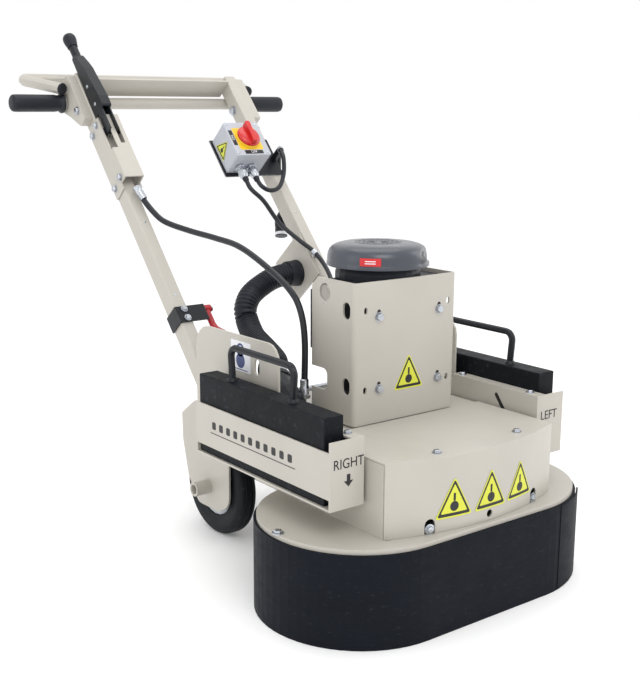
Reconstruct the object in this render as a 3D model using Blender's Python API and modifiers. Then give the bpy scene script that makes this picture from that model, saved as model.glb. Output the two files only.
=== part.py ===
"""Walk-behind floor grinder with two grinding discs, as an assembly of named parts.

Metres, +Z up, wheels and discs on z = 0. The operator stands at +Y and looks along -Y.
X is measured from the mid-plane. "right" and "left" are the operator's: right is -X, left is +X.
Distances along Y below are measured from the line through the two disc centres, and the
machine empty shifts them so that the whole machine is centred on the origin.
"""
import math

import bmesh
import bpy
from mathutils import Vector

GAP = 0.0003                 # clearance left between parts that touch
ORIGIN_Y = -0.43495          # moves the middle of the machine's length to y = 0

# Deck and grinding discs
DISC_X = 0.144               # disc centres, either side of the mid-plane
DISC_R = 0.1395              # 11 in discs
DECK_R = 0.1775
DECK_TOP = 0.171
SKIRT_T = 0.005
SKIRT_TOP = 0.163
STONE_T = 0.018

# Belt housing
HOUSING_HALF = 0.199
HOUSING_TOP = 0.300
HOUSING_REAR = 0.238
COVER_EDGE_Y = -0.130        # where the front cover's sides begin
COVER_NOSE_Y = -0.168        # middle of its curved face
SHEET = 0.003

# Belt drive
MOTOR_X, MOTOR_Y = 0.012, 0.142
MOTOR_PULLEY_R = 0.034
SPINDLE_PULLEY_R = 0.038
IDLER_R = 0.018
IDLER_AT = (0.150, -0.090)
IDLER_PIVOT = (0.172, -0.046)
BELT_T = 0.008
BELT_Z = (0.204, 0.220)

# Motor
BRACKET_X = (-0.110, 0.132)
BRACKET_Y = (0.058, 0.181)
BRACKET_TOP = 0.557
BRACKET_T = 0.004
MOTOR_R = 0.0785
FAN_COVER_R = 0.0945
FAN_COVER_Z = (0.572, 0.614)
FLANGE_Z = (0.5445, 0.5495)  # square flange between the bracket's plates
SHAFT_R = 0.014

# Chassis, wheels, trays and weights
AXLE_Y = 0.428
WHEEL_R = 0.1025
WHEEL_X = (0.132, 0.175)
AXLE_R = 0.0095
TRAY_X = (0.206, 0.276)
TRAY_Y = (-0.087, 0.318)
TRAY_BOTTOM = 0.2225
WEIGHT_X = (0.232, 0.272)
WEIGHT_Y = (-0.066, 0.311)
WEIGHT_TOP = 0.3735
WEIGHT_HANDLE_R = 0.0065

# Handle. Its own frame has the fold axis as X, Z up along the uprights and Y out of their rear faces.
FOLD_Y, FOLD_Z = 0.374, 0.285
HANDLE_ANGLE = math.radians(48.32)
UPRIGHT_X = 0.1947
UPRIGHT_W = 0.028
UPRIGHT_D = 0.039
UPRIGHT_TOP = 0.840
BAR_R = 0.0127
BAR_UP = 0.799               # handlebar's place along the uprights
BAR_BACK = 0.0345            # and behind their centre line
GRIP_X = (0.2348, 0.352)
GRIP_R = 0.0185
LOOP_X = 0.2417              # rear loop, at its two ends
LOOP_REAR_X = 0.290          # and at its wider rear bar
HOSE_R = 0.0255

# Lever, switch and latch, in the handle's frame
LEVER_PIVOT = (-0.032, 0.660)
LEVER_PIN_R = 0.004
LEVER_NECK = (-0.1953, -0.0320)
KNOB_LOW = 0.9010
SWITCH_X, SWITCH_UP = 0.100, 0.590
LATCH_PIVOT = (-0.012, 0.2110)

BEIGE = (0.62, 0.57, 0.50)
BLACK = (0.012, 0.012, 0.014)
RUBBER = (0.018, 0.019, 0.021)
ZINC = (0.62, 0.63, 0.65)
STEEL = (0.35, 0.35, 0.36)
IRON = (0.10, 0.10, 0.11)
RED = (0.60, 0.02, 0.02)
GREY = (0.33, 0.34, 0.38)
ABRASIVE = (0.22, 0.20, 0.18)

PARTS = None
CUTTERS = None


# ---------------------------------------------------------------- scene and placing

def clear_scene():
    for obj in list(bpy.data.objects):
        bpy.data.objects.remove(obj, do_unlink=True)


def collection(name):
    made = bpy.data.collections.new(name)
    bpy.context.scene.collection.children.link(made)
    return made


class Body:
    """An empty on a joint's axis. Parts are given in its parent's frame and hang from it."""

    def __init__(self, name, at, parent=None, tilt=0.0):
        self.empty = bpy.data.objects.new(name, None)
        self.empty.empty_display_size = 0.05
        self.origin = Vector(at)
        self.turned = tilt != 0.0
        self.empty.location = self.origin
        self.empty.rotation_euler = (tilt, 0.0, 0.0)
        if parent is not None:
            self.empty.parent = parent.empty
            if not parent.turned:
                self.empty.location = self.origin - parent.inside()
        PARTS.objects.link(self.empty)

    def inside(self):
        """What is taken off a part's place: nothing in a tilted frame, which has its own zero."""
        return Vector() if self.turned else self.origin


def material(name, colour, roughness, metallic):
    made = bpy.data.materials.new(name)
    made.use_nodes = True
    shader = made.node_tree.nodes["Principled BSDF"]
    shader.inputs["Base Color"].default_value = (*colour, 1.0)
    shader.inputs["Roughness"].default_value = roughness
    shader.inputs["Metallic"].default_value = metallic
    return made


def put(obj, name, body, colour, roughness=0.45, metallic=0.0):
    """Names a finished part, gives it its own material and hangs it from its body."""
    obj.name = name
    obj.data.name = name
    obj.data.materials.clear()
    obj.data.materials.append(material(name + "_finish", colour, roughness, metallic))
    obj.parent = body.empty
    obj.location = obj.location - body.inside()
    for modifier in obj.modifiers:
        if modifier.type == "BOOLEAN":
            tool = modifier.object
            tool.parent = body.empty
            tool.location = tool.location - body.inside()
    return obj


def link(name, data, at=(0.0, 0.0, 0.0), turn=(0.0, 0.0, 0.0)):
    obj = bpy.data.objects.new(name, data)
    obj.location = at
    obj.rotation_euler = turn
    PARTS.objects.link(obj)
    return obj


# ---------------------------------------------------------------- shapes

TURNS = {
    "X": (0.0, math.pi / 2, 0.0),
    "Y": (-math.pi / 2, 0.0, 0.0),
    "Z": (0.0, 0.0, 0.0),
    "XY": (0.0, 0.0, 0.0),
    "YZ": (math.pi / 2, 0.0, math.pi / 2),
    "XZ": (math.pi / 2, 0.0, 0.0),
}


def add_bevel(obj, width, segments=2, angle=35.0):
    bevel = obj.modifiers.new("Bevel", "BEVEL")
    bevel.width = width
    bevel.segments = segments
    bevel.limit_method = "ANGLE"
    bevel.angle_limit = math.radians(angle)
    return obj


def box(x, y, z, bevel=0.0):
    """A block between the pairs x, y and z."""
    low = Vector((min(x), min(y), min(z)))
    high = Vector((max(x), max(y), max(z)))
    bm = bmesh.new()
    bmesh.ops.create_cube(bm, size=1.0)
    bmesh.ops.scale(bm, vec=high - low, verts=bm.verts)
    mesh = bpy.data.meshes.new("box")
    bm.to_mesh(mesh)
    bm.free()
    obj = link("box", mesh, (low + high) / 2)
    return add_bevel(obj, bevel) if bevel else obj


def rod(radius, start, end, axis="Z", at=(0.0, 0.0), sides=24):
    """A plain cylinder from start to end along an axis. at holds the other two coordinates in order."""
    bm = bmesh.new()
    bmesh.ops.create_cone(bm, cap_ends=True, segments=sides, radius1=radius, radius2=radius, depth=end - start)
    mesh = bpy.data.meshes.new("rod")
    bm.to_mesh(mesh)
    bm.free()
    mesh.shade_smooth()
    mesh.set_sharp_from_angle(angle=math.radians(40))
    middle = (start + end) / 2
    places = {"X": (middle, at[0], at[1]), "Y": (at[0], middle, at[1]), "Z": (at[0], at[1], middle)}
    return link("rod", mesh, places[axis], TURNS[axis])


def turned(profile, at, axis="Z", sides=32):
    """A turned body. A bored one has a closed profile, a solid one starts and ends on the axis."""
    mesh = bpy.data.meshes.new("turned")
    bm = bmesh.new()
    verts = [bm.verts.new((radius, 0.0, height)) for radius, height in profile]
    closed = all(radius > 0.0 for radius, height in profile)
    last = len(verts) if closed else len(verts) - 1
    for index in range(last):
        bm.edges.new((verts[index], verts[(index + 1) % len(verts)]))
    bm.to_mesh(mesh)
    bm.free()
    obj = link("turned", mesh, at, TURNS[axis])
    screw = obj.modifiers.new("Screw", "SCREW")
    screw.steps = sides
    screw.render_steps = sides
    screw.use_merge_vertices = True
    screw.merge_threshold = 0.00005
    screw.use_smooth_shade = False
    return obj


def ring(outer, inner, low, high):
    """Closed profile of a plain bored disc."""
    return [(outer, high), (outer, low), (inner, low), (inner, high)]


def circle(x, y, radius, sides=20):
    return [
        (x + radius * math.cos(2 * math.pi * step / sides), y + radius * math.sin(2 * math.pi * step / sides))
        for step in range(sides)
    ]


def rounded(corners, steps=4):
    """An outline from corners (x, y, radius), with an arc at each corner that has a radius."""
    points = []
    for index, (x, y, radius) in enumerate(corners):
        here = Vector((x, y))
        if radius == 0.0:
            points.append((x, y))
            continue
        before = (Vector(corners[index - 1][:2]) - here).normalized()
        after = (Vector(corners[(index + 1) % len(corners)][:2]) - here).normalized()
        half = before.angle(after) / 2
        reach = radius / math.tan(half)
        centre = here + (before + after).normalized() * (radius / math.sin(half))
        start = here + before * reach - centre
        end = here + after * reach - centre
        sweep = start.angle_signed(end)
        for step in range(steps + 1):
            turn = -sweep * step / steps
            spoke = Vector((
                start.x * math.cos(turn) - start.y * math.sin(turn),
                start.x * math.sin(turn) + start.y * math.cos(turn),
            ))
            points.append(tuple(centre + spoke))
    return points


def rectangle(x, y, radius=0.0):
    corners = [(x[0], y[0], radius), (x[1], y[0], radius), (x[1], y[1], radius), (x[0], y[1], radius)]
    return rounded(corners)


def slot(x, y, width, length, steps=6):
    """A round-ended slot, upright in its plane."""
    radius = width / 2
    rise = length / 2 - radius
    upper = [(x + radius * math.cos(a), y + rise + radius * math.sin(a))
             for a in (math.pi * step / steps for step in range(steps + 1))]
    lower = [(x - radius * math.cos(a), y - rise - radius * math.sin(a))
             for a in (math.pi * step / steps for step in range(steps + 1))]
    return upper + lower


def stadium(radius, steps=30):
    """The outline round both discs."""
    right = [(-DISC_X - radius * math.sin(a), radius * math.cos(a))
             for a in (math.pi * step / steps for step in range(steps + 1))]
    left = [(DISC_X + radius * math.sin(a), -radius * math.cos(a))
            for a in (math.pi * step / steps for step in range(steps + 1))]
    return right + left


def flat(loops, low, high, plane="XY"):
    """A flat plate: the first loop is its outline and the others are holes. low and high bound its thickness."""
    curve = bpy.data.curves.new("outline", "CURVE")
    curve.dimensions = "2D"
    curve.fill_mode = "BOTH"
    curve.extrude = (high - low) / 2
    for loop in loops:
        spline = curve.splines.new("POLY")
        spline.points.add(len(loop) - 1)
        for point, (x, y) in zip(spline.points, loop):
            point.co = (x, y, 0.0, 1.0)
        spline.use_cyclic_u = True
    middle = (high + low) / 2
    places = {"XY": (0.0, 0.0, middle), "YZ": (middle, 0.0, 0.0), "XZ": (0.0, -middle, 0.0)}
    return as_mesh(link("outline", curve, places[plane], TURNS[plane]))


def as_mesh(source):
    """Replaces a curve with its mesh, with the caps welded on."""
    bpy.context.view_layer.update()
    evaluated = source.evaluated_get(bpy.context.evaluated_depsgraph_get())
    mesh = bpy.data.meshes.new_from_object(evaluated)
    bm = bmesh.new()
    bm.from_mesh(mesh)
    bmesh.ops.remove_doubles(bm, verts=bm.verts, dist=0.00001)
    bmesh.ops.recalc_face_normals(bm, faces=bm.faces)
    bm.to_mesh(mesh)
    bm.free()
    obj = link(source.name, mesh)
    obj.matrix_world = source.matrix_world.copy()
    bpy.data.objects.remove(source, do_unlink=True)
    return obj


def smooth_path(route, spacing):
    """Points a set distance apart along a smooth curve through the route's own points."""
    knots = [Vector(point) for point in route]
    knots = [2 * knots[0] - knots[1]] + knots + [2 * knots[-1] - knots[-2]]
    fine = []
    for a, b, c, d in zip(knots, knots[1:], knots[2:], knots[3:]):
        for step in range(24):
            t = step / 24
            fine.append(0.5 * (2 * b + (c - a) * t + (2 * a - 5 * b + 4 * c - d) * t ** 2
                               + (3 * b - 3 * c + d - a) * t ** 3))
    fine.append(knots[-2])
    total = sum((b - a).length for a, b in zip(fine, fine[1:]))
    count = max(2, round(total / spacing))
    points = [fine[0]]
    walked = 0.0
    for a, b in zip(fine, fine[1:]):
        walked += (b - a).length
        if walked >= total * len(points) / count and len(points) < count:
            points.append(b)
    points.append(fine[-1])
    return points


def tube(points, radius, resolution=2):
    """A round bar or cord through the points, with closed ends."""
    curve = bpy.data.curves.new("tube", "CURVE")
    curve.dimensions = "3D"
    curve.bevel_depth = radius
    curve.bevel_resolution = resolution
    curve.use_fill_caps = True
    spline = curve.splines.new("POLY")
    spline.points.add(len(points) - 1)
    for point, place in zip(spline.points, points):
        point.co = (*place, 1.0)
    return link("tube", curve)


def bent(corners, radius, bend, resolution=2):
    """A bar bent to an arc at each inner corner."""
    knots = [Vector(corner) for corner in corners]
    points = [knots[0]]
    for a, b, c in zip(knots, knots[1:], knots[2:]):
        before = (a - b).normalized()
        after = (c - b).normalized()
        half = before.angle(after) / 2
        reach = bend / math.tan(half)
        centre = b + (before + after).normalized() * (bend / math.sin(half))
        start = b + before * reach - centre
        end = b + after * reach - centre
        for step in range(7):
            points.append(centre + start.slerp(end, step / 6).normalized() * bend)
    points.append(knots[-1])
    return tube(points, radius, resolution)


def combine(obj, tools, operation):
    for tool in tools:
        modifier = obj.modifiers.new(operation.title(), "BOOLEAN")
        modifier.operation = operation
        modifier.solver = "EXACT"
        modifier.object = tool
        tool.name = "tool_" + tool.name
        tool.hide_render = True
        tool.display_type = "WIRE"
        PARTS.objects.unlink(tool)
        CUTTERS.objects.link(tool)
    return obj


def cut(obj, *tools):
    return combine(obj, tools, "DIFFERENCE")


def fuse(obj, *tools):
    return combine(obj, tools, "UNION")


def mirrored(x, side):
    """An x range on the right or left side of the machine."""
    return (side * x[0], side * x[1])


# ---------------------------------------------------------------- deck

def make_deck(base):
    spindle_holes = [circle(side * DISC_X, 0.0, 0.0345) for side in (-1, 1)]
    dust_hole = circle(-0.150, 0.122, 0.0265)
    plate = flat([stadium(DECK_R)] + spindle_holes + [dust_hole], DECK_TOP - 0.005, DECK_TOP)
    rim = flat([stadium(DECK_R), stadium(DECK_R - 0.004)], 0.128, DECK_TOP - 0.0045)
    put(fuse(plate, rim), "deck_plate", base, BEIGE)
    skirt = flat([stadium(DECK_R + GAP + SKIRT_T), stadium(DECK_R + GAP)], 0.0006, SKIRT_TOP)
    slit = box((0.29, 0.34), (-0.1290, -0.1275), (-0.01, 0.2))
    put(cut(skirt, slit), "deck_skirt", base, RUBBER, 0.7)


def make_disc(body, name, side):
    x = side * DISC_X
    plate = turned([(0.0, 0.026), (DISC_R, 0.026), (DISC_R, STONE_T), (0.0, STONE_T)], (x, 0.0, 0.0), sides=40)
    hub = turned([(0.0, 0.050), (0.030, 0.050), (0.030, 0.0255), (0.0, 0.0255)], (x, 0.0, 0.0), sides=24)
    bore = rod(0.0128, 0.0, 0.06, at=(x, 0.0))
    stones = []
    for index in range(3):
        angle = 2 * math.pi * index / 3
        outline = [(-0.030, 0.072, 0.006), (0.030, 0.072, 0.006), (0.042, 0.132, 0.006), (-0.042, 0.132, 0.006)]
        stone = flat([rounded(outline, 2)], 0.0, STONE_T + 0.0005)
        stone.location.x = x
        stone.rotation_euler.z = angle
        stones.append(stone)
    put(cut(fuse(plate, hub, *stones), bore), "grinding_disc_" + name, body, ABRASIVE, 0.8, 0.2)
    shaft = turned([(0.0, 0.246), (0.0125, 0.246), (0.0125, 0.020), (0.0, 0.020)], (x, 0.0, 0.0), sides=24)
    put(shaft, "spindle_shaft_" + name, body, STEEL, 0.3, 1.0)
    pulley = turned(groove(SPINDLE_PULLEY_R, 0.0128), (x, 0.0, 0.0), sides=24)
    put(pulley, "spindle_pulley_" + name, body, IRON, 0.5, 0.8)


def groove(radius, bore):
    """Profile of a flat-faced pulley, a little wider than the belt between BELT_Z."""
    low, high = BELT_Z
    margin = 0.004
    return [(radius, high + margin), (radius, low - margin), (bore, low - margin), (bore, high + margin)]


def make_spindle_housing(base, name, side):
    profile = [
        (0.030, 0.194), (0.030, 0.1785), (0.043, 0.1785), (0.043, DECK_TOP + GAP), (0.034, DECK_TOP + GAP),
        (0.034, 0.070), (0.0129, 0.070), (0.0129, 0.194),
    ]
    housing = turned(profile, (side * DISC_X, 0.0, 0.0), sides=18)
    put(housing, "spindle_housing_" + name, base, IRON, 0.6, 0.6)


# ---------------------------------------------------------------- belt drive

def belt_side(wheels, grow_inside, grow_outside):
    """One side of the belt: a closed loop round the wheels (x, y, radius, side), side -1 where its back bears."""
    def radius_of(wheel):
        return wheel[2] + (grow_inside if wheel[3] > 0 else grow_outside)

    spans = []
    for first, second in zip(wheels, wheels[1:] + wheels[:1]):
        a, b = Vector(first[:2]), Vector(second[:2])
        reach = b - a
        lift = (second[3] * radius_of(second) - first[3] * radius_of(first)) / reach.length
        turn = -math.asin(lift)
        along = reach.normalized()
        along = Vector((along.x * math.cos(turn) - along.y * math.sin(turn),
                        along.x * math.sin(turn) + along.y * math.cos(turn)))
        normal = Vector((-along.y, along.x))
        spans.append((a - normal * first[3] * radius_of(first), b - normal * second[3] * radius_of(second)))
    points = []
    for index, wheel in enumerate(wheels):
        centre = Vector(wheel[:2])
        arrive = spans[index - 1][1] - centre
        leave = spans[index][0] - centre
        start = math.atan2(arrive.y, arrive.x)
        sweep = (math.atan2(leave.y, leave.x) - start) * wheel[3] % (2 * math.pi) * wheel[3]
        steps = max(2, round(abs(sweep) / 0.22))
        for step in range(steps + 1):
            angle = start + sweep * step / steps
            points.append((centre.x + radius_of(wheel) * math.cos(angle), centre.y + radius_of(wheel) * math.sin(angle)))
    return points


def make_belt(base):
    wheels = [
        (-DISC_X, 0.0, SPINDLE_PULLEY_R, 1),
        (*IDLER_AT, IDLER_R, 1),
        (DISC_X, 0.0, SPINDLE_PULLEY_R, -1),
        (MOTOR_X, MOTOR_Y, MOTOR_PULLEY_R, 1),
    ]
    near = 2 * GAP
    inner = belt_side(wheels, near, near + BELT_T)
    outer = belt_side(wheels, near + BELT_T, near)
    put(flat([outer, inner], *BELT_Z), "drive_belt", base, RUBBER, 0.8)


def make_idler(arm_body, pulley_body):
    lift = BELT_Z[0] - 0.014
    start, end = Vector(IDLER_PIVOT), Vector(IDLER_AT)
    along = (end - start).normalized()
    across = Vector((-along.y, along.x)) * 0.008
    outline = [tuple(start + across), tuple(start - across), tuple(end - across), tuple(end + across)]
    arm = flat([outline], lift, lift + 0.006)
    hub = rod(0.0095, DECK_TOP + GAP, lift + 0.008, at=IDLER_PIVOT)
    pin = rod(0.005, lift + 0.001, BELT_Z[1] + 0.008, at=IDLER_AT)
    boss = rod(0.0092, lift - 0.001, lift + 0.0075, at=IDLER_AT)
    put(fuse(arm, hub, boss, pin), "idler_arm", arm_body, STEEL, 0.4, 1.0)
    pulley = turned(groove(IDLER_R, 0.0053), (*IDLER_AT, 0.0), sides=24)
    put(pulley, "idler_pulley", pulley_body, STEEL, 0.4, 1.0)


def cover_outline(inset, back):
    """The front cover seen from above: a shallow arc across the front and straight sides."""
    half = HOUSING_HALF - 0.0015 - inset
    nose = COVER_NOSE_Y + inset
    edge = COVER_EDGE_Y + inset
    sag = edge - nose
    radius = (half ** 2 + sag ** 2) / (2 * sag)
    swing = math.asin(half / radius)
    arc = [(radius * math.sin(a), nose + radius - radius * math.cos(a))
           for a in (-swing + 2 * swing * step / 32 for step in range(33))]
    return [(-half, back)] + arc + [(half, back)]


def make_belt_housing(base):
    walls_low = DECK_TOP + GAP
    shell = box((-HOUSING_HALF, HOUSING_HALF), (COVER_EDGE_Y + 0.003, HOUSING_REAR), (walls_low, HOUSING_TOP - 0.0035))
    room = box((-HOUSING_HALF + SHEET, HOUSING_HALF - SHEET), (-0.2, HOUSING_REAR - SHEET),
               (walls_low - 0.02, HOUSING_TOP - 0.0035 - SHEET))
    motor_hole = rod(0.050, 0.28, 0.31, at=(MOTOR_X, MOTOR_Y))
    dust_hole = flat([slot(-0.1515, 0.1640, 0.062, 0.088)], 0.28, 0.31)
    put(cut(shell, room, motor_hole, dust_hole), "belt_housing", base, BEIGE)

    cover = flat([cover_outline(0.0, 0.055)], walls_low, HOUSING_TOP)
    add_bevel(cover, 0.012, 3, 60.0)
    hollow = flat([cover_outline(SHEET, 0.080)], walls_low - 0.02, HOUSING_TOP - SHEET)
    open_sides = [
        box((side * 0.15, side * 0.25), (COVER_EDGE_Y + 0.002, 0.1), (0.1, HOUSING_TOP - SHEET)) for side in (-1, 1)
    ]
    sight_hole = rod(0.007, -0.2, -0.1, "Y", (0.005, 0.183), 14)
    notches = [
        flat([slot(x, walls_low + 0.002, 0.020, 0.048)], 0.1, 0.2, "XZ") for x in (-0.120, 0.131)
    ]
    put(cut(cover, hollow, *open_sides, sight_hole, *notches), "belt_guard_cover", base, BEIGE)


def make_dust_port(base):
    route = [
        (-0.150, 0.122, DECK_TOP + 0.0015), (-0.150, 0.122, 0.205), (-0.151, 0.130, 0.245), (-0.152, 0.158, 0.292),
        (-0.151, 0.196, 0.328), (-0.1435, 0.2324, 0.3417), (-0.1330, 0.2600, 0.3465),
    ]
    points = smooth_path(route, 0.020)
    outside = as_mesh(tube(points, HOSE_R + 0.0015, 4))
    first, last = points[0], points[-1]
    longer = [first - Vector((0.0, 0.0, 0.02))] + points + [last + (last - points[-2]).normalized() * 0.02]
    inside = as_mesh(tube(longer, HOSE_R - 0.0015, 4))
    put(cut(outside, inside), "dust_port", base, BLACK, 0.5)


# ---------------------------------------------------------------- motor

def make_motor_bracket(base):
    (x0, x1), (y0, y1), t = BRACKET_X, BRACKET_Y, BRACKET_T
    low, high = HOUSING_TOP + GAP, BRACKET_TOP
    plan = rounded([
        (x0, y1, 0.0), (x0, y0, 0.008), (x1, y0, 0.008), (x1, y1, 0.0),
        (x1 - t, y1, 0.0), (x1 - t, y0 + t, 0.004), (x0 + t, y0 + t, 0.004), (x0 + t, y1, 0.0),
    ], 3)
    channel = flat([plan], low, high)
    through = (x0 - 0.02, x1 + 0.02)
    side_cuts = [flat([slot(0.081, z, 0.021, 0.031)], *through, "YZ") for z in (0.5065, 0.370)]
    side_cuts.append(flat([circle(0.1425, 0.532, 0.016, 12)], *through, "YZ"))
    cable_notch = rectangle((0.135, 0.20), (0.352, 0.392), 0.012)
    side_cuts.append(flat([cable_notch], x0 - 0.02, x0 + 0.02, "YZ"))
    rear_corner = flat([[(0.163, high + 0.001), (y1 + 0.001, high - 0.018), (y1 + 0.01, high + 0.01)]], *through, "YZ")
    windows = [
        flat([slot(x, z, 0.008, 0.013, 4)], -0.07, -0.04, "XZ")
        for x, z in ((-0.085, 0.507), (-0.085, 0.3635), (0.112, 0.5065), (0.1125, 0.362))
    ]
    put(cut(channel, *side_cuts, rear_corner, *windows), "motor_bracket", base, BEIGE)


def make_motor(base):
    at = (MOTOR_X, MOTOR_Y, 0.0)
    bore = SHAFT_R + GAP
    profile = [
        (0.058, 0.584), (0.058, 0.5705), (MOTOR_R - 0.004, 0.5705), (MOTOR_R, 0.560), (MOTOR_R, 0.345),
        (0.072, 0.335), (0.072, HOUSING_TOP + 0.001), (bore, HOUSING_TOP + 0.001), (bore, 0.584),
    ]
    body = turned(profile, at, sides=28)
    foot_y = BRACKET_Y[0] + BRACKET_T + GAP
    feet = [
        box((MOTOR_X - 0.078, MOTOR_X - 0.045), (foot_y, 0.105), (0.345, 0.515)),
        box((MOTOR_X + 0.045, MOTOR_X + 0.078), (foot_y, 0.105), (0.345, 0.515)),
    ]
    terminal_box = box((MOTOR_X - 0.040, MOTOR_X + 0.050), (0.205, 0.262), (0.395, 0.490), 0.004)
    left_x, right_x, rear_y = BRACKET_X[0] + BRACKET_T + GAP, BRACKET_X[1] - BRACKET_T - GAP, 0.176
    flange = flat([rounded([
        (left_x, rear_y, 0.0), (left_x, foot_y, 0.006), (right_x, foot_y, 0.006), (right_x, rear_y, 0.0),
        (MOTOR_X + 0.045, rear_y, 0.0), (MOTOR_X + 0.045, 0.100, 0.0), (MOTOR_X - 0.045, 0.100, 0.0),
        (MOTOR_X - 0.045, rear_y, 0.0),
    ], 3)], *FLANGE_Z)
    put(fuse(body, *feet, terminal_box, flange), "motor_body", base, IRON, 0.5, 0.2)

    low, high = FAN_COVER_Z
    cover = turned([
        (0.030, high - 0.004), (0.052, high), (0.078, high - 0.004), (0.0915, high - 0.016), (FAN_COVER_R, high - 0.030),
        (FAN_COVER_R, low), (FAN_COVER_R - 0.0025, low), (FAN_COVER_R - 0.0025, high - 0.031), (0.0895, high - 0.0185),
        (0.077, high - 0.0068), (0.052, high - 0.0028), (0.030, high - 0.0068),
    ], at, sides=28)
    put(cover, "motor_fan_cover", base, IRON, 0.35, 0.3)


def make_rotor(body):
    at = (MOTOR_X, MOTOR_Y, 0.0)
    shaft = turned([(0.0, 0.604), (SHAFT_R, 0.604), (SHAFT_R, 0.192), (0.0, 0.192)], at, sides=24)
    put(shaft, "motor_shaft", body, STEEL, 0.3, 1.0)
    fan_disc = turned(ring(0.070, SHAFT_R + GAP, 0.586, 0.589), at, sides=20)
    hub = turned(ring(0.022, SHAFT_R + GAP, 0.5855, 0.602), at, sides=20)
    blades = []
    for index in range(5):
        blade = box((-0.0015, 0.0015), (0.020, 0.068), (0.5885, 0.601))
        angle = 2 * math.pi * index / 5
        reach = 0.044
        blade.location.x = MOTOR_X - reach * math.sin(angle)
        blade.location.y = MOTOR_Y + reach * math.cos(angle)
        blade.rotation_euler.z = angle
        blades.append(blade)
    put(fuse(fan_disc, hub, *blades), "motor_fan", body, BLACK, 0.5)
    pulley = turned(groove(MOTOR_PULLEY_R, SHAFT_R + GAP), at, sides=24)
    put(pulley, "motor_pulley", body, IRON, 0.5, 0.8)


# ---------------------------------------------------------------- chassis, wheels, trays

def make_chassis(base):
    top_z = 0.249
    plate = box((-0.1803, 0.1803), (HOUSING_REAR + GAP, 0.500), (top_z - 0.004, top_z), 0.0)
    front = box((-0.178, 0.178), (HOUSING_REAR + GAP, HOUSING_REAR + 0.0043), (0.185, 0.290))
    rear = box((-0.178, 0.178), (0.496, 0.500), (0.215, top_z - 0.0005))
    cheeks = [
        flat([rounded([(0.36, 0.247, 0.0), (0.375, 0.075, 0.025), (0.480, 0.075, 0.025), (0.495, 0.247, 0.0)])],
             *sorted(mirrored((0.116, 0.120), side)), "YZ")
        for side in (-1, 1)
    ]
    axle_bore = rod(AXLE_R + GAP, -0.13, 0.13, "X", (AXLE_Y, WHEEL_R))
    put(cut(fuse(plate, front, rear, *cheeks), axle_bore), "chassis_frame", base, BEIGE)
    axle = rod(AXLE_R, -0.206, 0.206, "X", (AXLE_Y, WHEEL_R))
    put(axle, "wheel_axle", base, STEEL, 0.35, 1.0)


def make_side(base, name, side):
    """The plates on one side: the axle plate with its boss, the handle's pivot plate and the weight tray."""
    def across(low, high):
        return sorted((side * low, side * high))

    outline = rounded([
        (0.350, 0.256, 0.0), (0.352, 0.080, 0.030), (0.392, 0.058, 0.025), (0.468, 0.058, 0.020),
        (0.505, 0.105, 0.030), (0.525, 0.180, 0.040), (0.527, 0.236, 0.006), (0.474, 0.273, 0.006), (0.440, 0.256, 0.0),
    ], 3)
    plate = flat([outline], *across(0.181, 0.185), "YZ")
    boss = rod(0.0145, *across(0.1845, 0.219), "X", (AXLE_Y, WHEEL_R))
    bore = rod(AXLE_R + GAP, *across(0.17, 0.23), "X", (AXLE_Y, WHEEL_R))
    put(cut(fuse(plate, boss), bore), "axle_plate_" + name, base, BEIGE)

    outline = rounded([
        (0.137, TRAY_BOTTOM + 0.006, 0.0), (0.412, TRAY_BOTTOM + 0.006, 0.015), (0.412, 0.446, 0.045), (0.137, 0.448, 0.032),
    ])
    window = slot(0.203, 0.397, 0.016, 0.030)
    pin_hole = circle(FOLD_Y, FOLD_Z, 0.0063, 16)
    plate = flat([outline, window, pin_hole], *across(0.2125, 0.2165), "YZ")
    put(plate, "pivot_plate_" + name, base, BEIGE)

    (x0, x1), (y0, y1), low = TRAY_X, TRAY_Y, TRAY_BOTTOM
    bottom = box(across(x0, x1), (y0, y1), (low, low + SHEET))
    inner = box(across(x0, x0 + SHEET), (y0, 0.262), (low, 0.338))
    ledge = box(across(x0, WEIGHT_X[0] - 0.002), (y0, 0.1360), (0.335, 0.338))
    front = box(across(x0, x1), (y0, y0 + SHEET), (low, 0.338))
    rear = box(across(x0 + 0.014, x1), (y1 - SHEET, y1), (low, 0.300))
    outer = box(across(x1 - SHEET, x1), (y0, y1), (0.242, 0.320))
    put(fuse(bottom, inner, ledge, front, rear, outer), "tray_" + name, base, BEIGE)


def make_pivot_rod(base):
    rod_bar = rod(0.006, -0.226, 0.226, "X", (FOLD_Y, FOLD_Z), 20)
    put(rod_bar, "handle_pivot_rod", base, ZINC, 0.35, 1.0)


def make_weight(body, name, side):
    block = box(sorted(mirrored(WEIGHT_X, side)), WEIGHT_Y, (TRAY_BOTTOM + SHEET + GAP, WEIGHT_TOP), 0.002)
    put(block, "weight_" + name, body, BLACK, 0.45)
    x = side * sum(WEIGHT_X) / 2
    foot, top = WEIGHT_TOP + 3 * GAP, 0.4340
    front = 0.040 if name == "right" else 0.022
    rear = front + 0.194
    handle = bent([(x, front + 0.005, foot), (x, front, top), (x, rear, top), (x, rear - 0.005, foot)],
                  WEIGHT_HANDLE_R, 0.016)
    put(handle, "weight_handle_" + name, body, BLACK, 0.4)


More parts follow.
